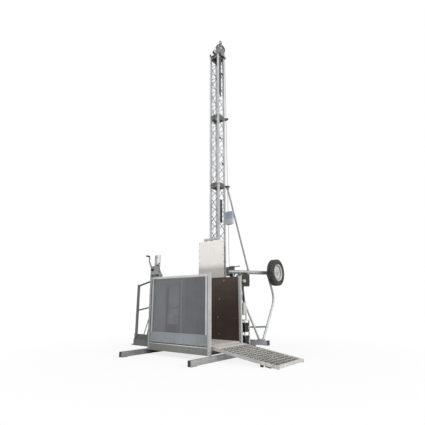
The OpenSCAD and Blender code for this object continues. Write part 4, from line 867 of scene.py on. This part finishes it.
# Cover screws of the winch housing
low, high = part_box("winch_housing")
bm = bmesh.new()
for s in (DRUM_S - 0.072, DRUM_S + 0.072):
    for z in (low.z + 0.016, high.z - 0.0165):
        dome(bm, on_arm(s, 0.124, z), (math.cos(ARM_TURN), -math.sin(ARM_TURN), 0.0), 0.008, 0.005)
piece("winch_cover_screws", bm, plated_bolt, "base")

# Raised tread on the deck of the bridge, between its guards
low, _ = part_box("bridge_guards")
bm = bmesh.new()
for i in range(10):
    for k in range(20):
        spot = Vector((low.x + 0.027 + i * 0.044, low.y + 0.0375 + k * 0.040, BRIDGE_Z - 0.003))
        lean = Matrix.Translation(spot)
        lean = lean @ Matrix.Rotation(math.radians(45.0 if (i + k) % 2 else -45.0), 4, "Z")
        block(bm, (-0.013, -0.0035, -0.0005), (0.013, 0.0035, 0.0018), 0.0, lean)
piece("bridge_tread", bm, zinc_bridge, "bridge")

# Plate over the hinge side of the ramp and the feet under its front edge
lay_ramp = Matrix.Translation((HINGE_X, 0.0, RAMP_Z)) @ Matrix.Rotation(RAMP_TURN, 4, "Y")
bm = bmesh.new()
block(bm, (0.020, -1.100, 0.0148), (0.150, -0.284, 0.0178), 0.001, lay_ramp)
for k in range(7):
    dome(bm, on_ramp(0.134, -1.060 + k * 0.123, 0.0178), lay_ramp.to_3x3() @ Vector((0, 0, 1)), 0.008, 0.004)
piece("ramp_hinge_plate", bm, pale_deck, "ramp")
bm = bmesh.new()
block(bm, (0.868, -1.0965, -0.064), (0.906, -1.052, -0.0145), 0.004, lay_ramp)
block(bm, (0.945, -1.0965, -0.046), (1.035, -1.052, -0.0145), 0.003, lay_ramp)
piece("ramp_feet", bm, oil_dark, "ramp")

# Dark sleeves on the brace between the rack, the strut and the bow
bm = bmesh.new()
for start, end in (((0.4365, 0.4658), (0.4755, 0.5027)), ((0.5095, 0.5458), (0.6247, 0.7356))):
    bar(bm, (*start, BRACE_Z), (*end, BRACE_Z), 0.0152, 20)
piece("brace_sleeves", bm, zinc_bridge, "base")

# Louvres, handles, sockets and corner covers on the faces of the two units
low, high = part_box("equipment_units")
floors = (low.z, high.z - UNIT_HIGH)
face, grip = high.x, high.x + 0.018
bm = bmesh.new()
for floor in floors:
    for k in range(7):
        z = floor + 0.028 + k * 0.0125
        block(bm, (face - 0.0005, 0.316, z), (face + 0.0045, 0.400, z + 0.006), 0.0008)
    z = floor + 0.146
    for y in (0.322, 0.418):
        bar(bm, (face, y, z), (grip, y, z), 0.004, 10)
    bar(bm, (grip, 0.318, z), (grip, 0.422, z), 0.005, 12)
piece("unit_louvres_and_handles", bm, unit_black, "base")
socket = [(0.0, 0.010), (0.009, 0.0095), (0.011, 0.007), (0.014, 0.006), (0.014, -0.001)]
bm = bmesh.new()
for floor in floors:
    for up in (0.06, 0.10):
        turned(bm, socket, (face, 0.419, floor + up), (1, 0, 0), 20)
piece("unit_sockets", bm, cream, "base")
bm = bmesh.new()
cover = face + 0.0055
for floor in floors:
    for x, y in ((cover - 0.0315, 0.2800), (cover - 0.0035, 0.3080)):
        block(bm, (x, 0.2765, floor + 0.006), (cover, y, floor + 0.166), 0.001)
piece("unit_corner_covers", bm, unit_black, "base")


# Floor, light and background of the photograph
def white_ground():
    """White to the camera, with a soft shadow close to the part."""
    f = Finish("white_ground")
    seen = f.node("ShaderNodeLightPath", out="Is Camera Ray")
    far = (f.axis("X") * f.axis("X") + f.axis("Y") * f.axis("Y")) ** 0.5
    lit = f.node("ShaderNodeBsdfDiffuse", None, {"Color": (0.92, 0.92, 0.92, 1.0)})
    white = f.node("ShaderNodeEmission", None, {"Color": (1.0, 1.0, 1.0, 1.0), "Strength": 1.0})
    both = f.node("ShaderNodeMixShader", None, {0: seen * f.ramp(far, 1.6, 4.5, 0.80, 1.0), 1: lit, 2: white})
    f.node("ShaderNodeOutputMaterial", None, {"Surface": both})
    return f.owner


def white_studio():
    """White to the camera and in reflections, softer as a light."""
    f = Finish("white_studio", "worlds")
    direct, glossy, through = (f.node("ShaderNodeLightPath", out=ray) for ray in
                               ("Is Camera Ray", "Is Glossy Ray", "Is Transmission Ray"))
    clear = f.maths("MAXIMUM", f.maths("MAXIMUM", direct, glossy), through)
    soft = f.node("ShaderNodeBackground", None, {"Color": (0.95, 0.98, 1.0, 1.0), "Strength": 0.45})
    white = f.node("ShaderNodeBackground", None, {"Color": (1.0, 1.0, 1.0, 1.0), "Strength": 1.0})
    both = f.node("ShaderNodeMixShader", None, {0: clear, 1: soft, 2: white})
    f.node("ShaderNodeOutputWorld", None, {"Surface": both})
    return f.owner


def lamp(name, from_way, strength, spread):
    """Sunlight from a direction, with a spread that softens its shadows."""
    light = bpy.data.lights.new(name, "SUN")
    light.energy = strength
    light.angle = math.radians(spread)
    holder = bpy.data.objects.new(name, light)
    holder.rotation_euler = Vector(from_way).to_track_quat("Z", "Y").to_euler()
    scene.collection.objects.link(holder)


bm = bmesh.new()
bmesh.ops.create_grid(bm, x_segments=2, y_segments=2, size=30.0)
ground_mesh = bpy.data.meshes.new("ground")
bm.to_mesh(ground_mesh)
bm.free()
ground_mesh.materials.append(white_ground())
ground = bpy.data.objects.new("ground", ground_mesh)
ground.location = (0.0, 0.0, -0.001)
scene.collection.objects.link(ground)

scene.world = white_studio()
lamp("key_light", (0.86, -0.10, 0.50), 2.2, 40.0)
lamp("front_fill", (-0.10, -0.80, 0.45), 0.95, 60.0)
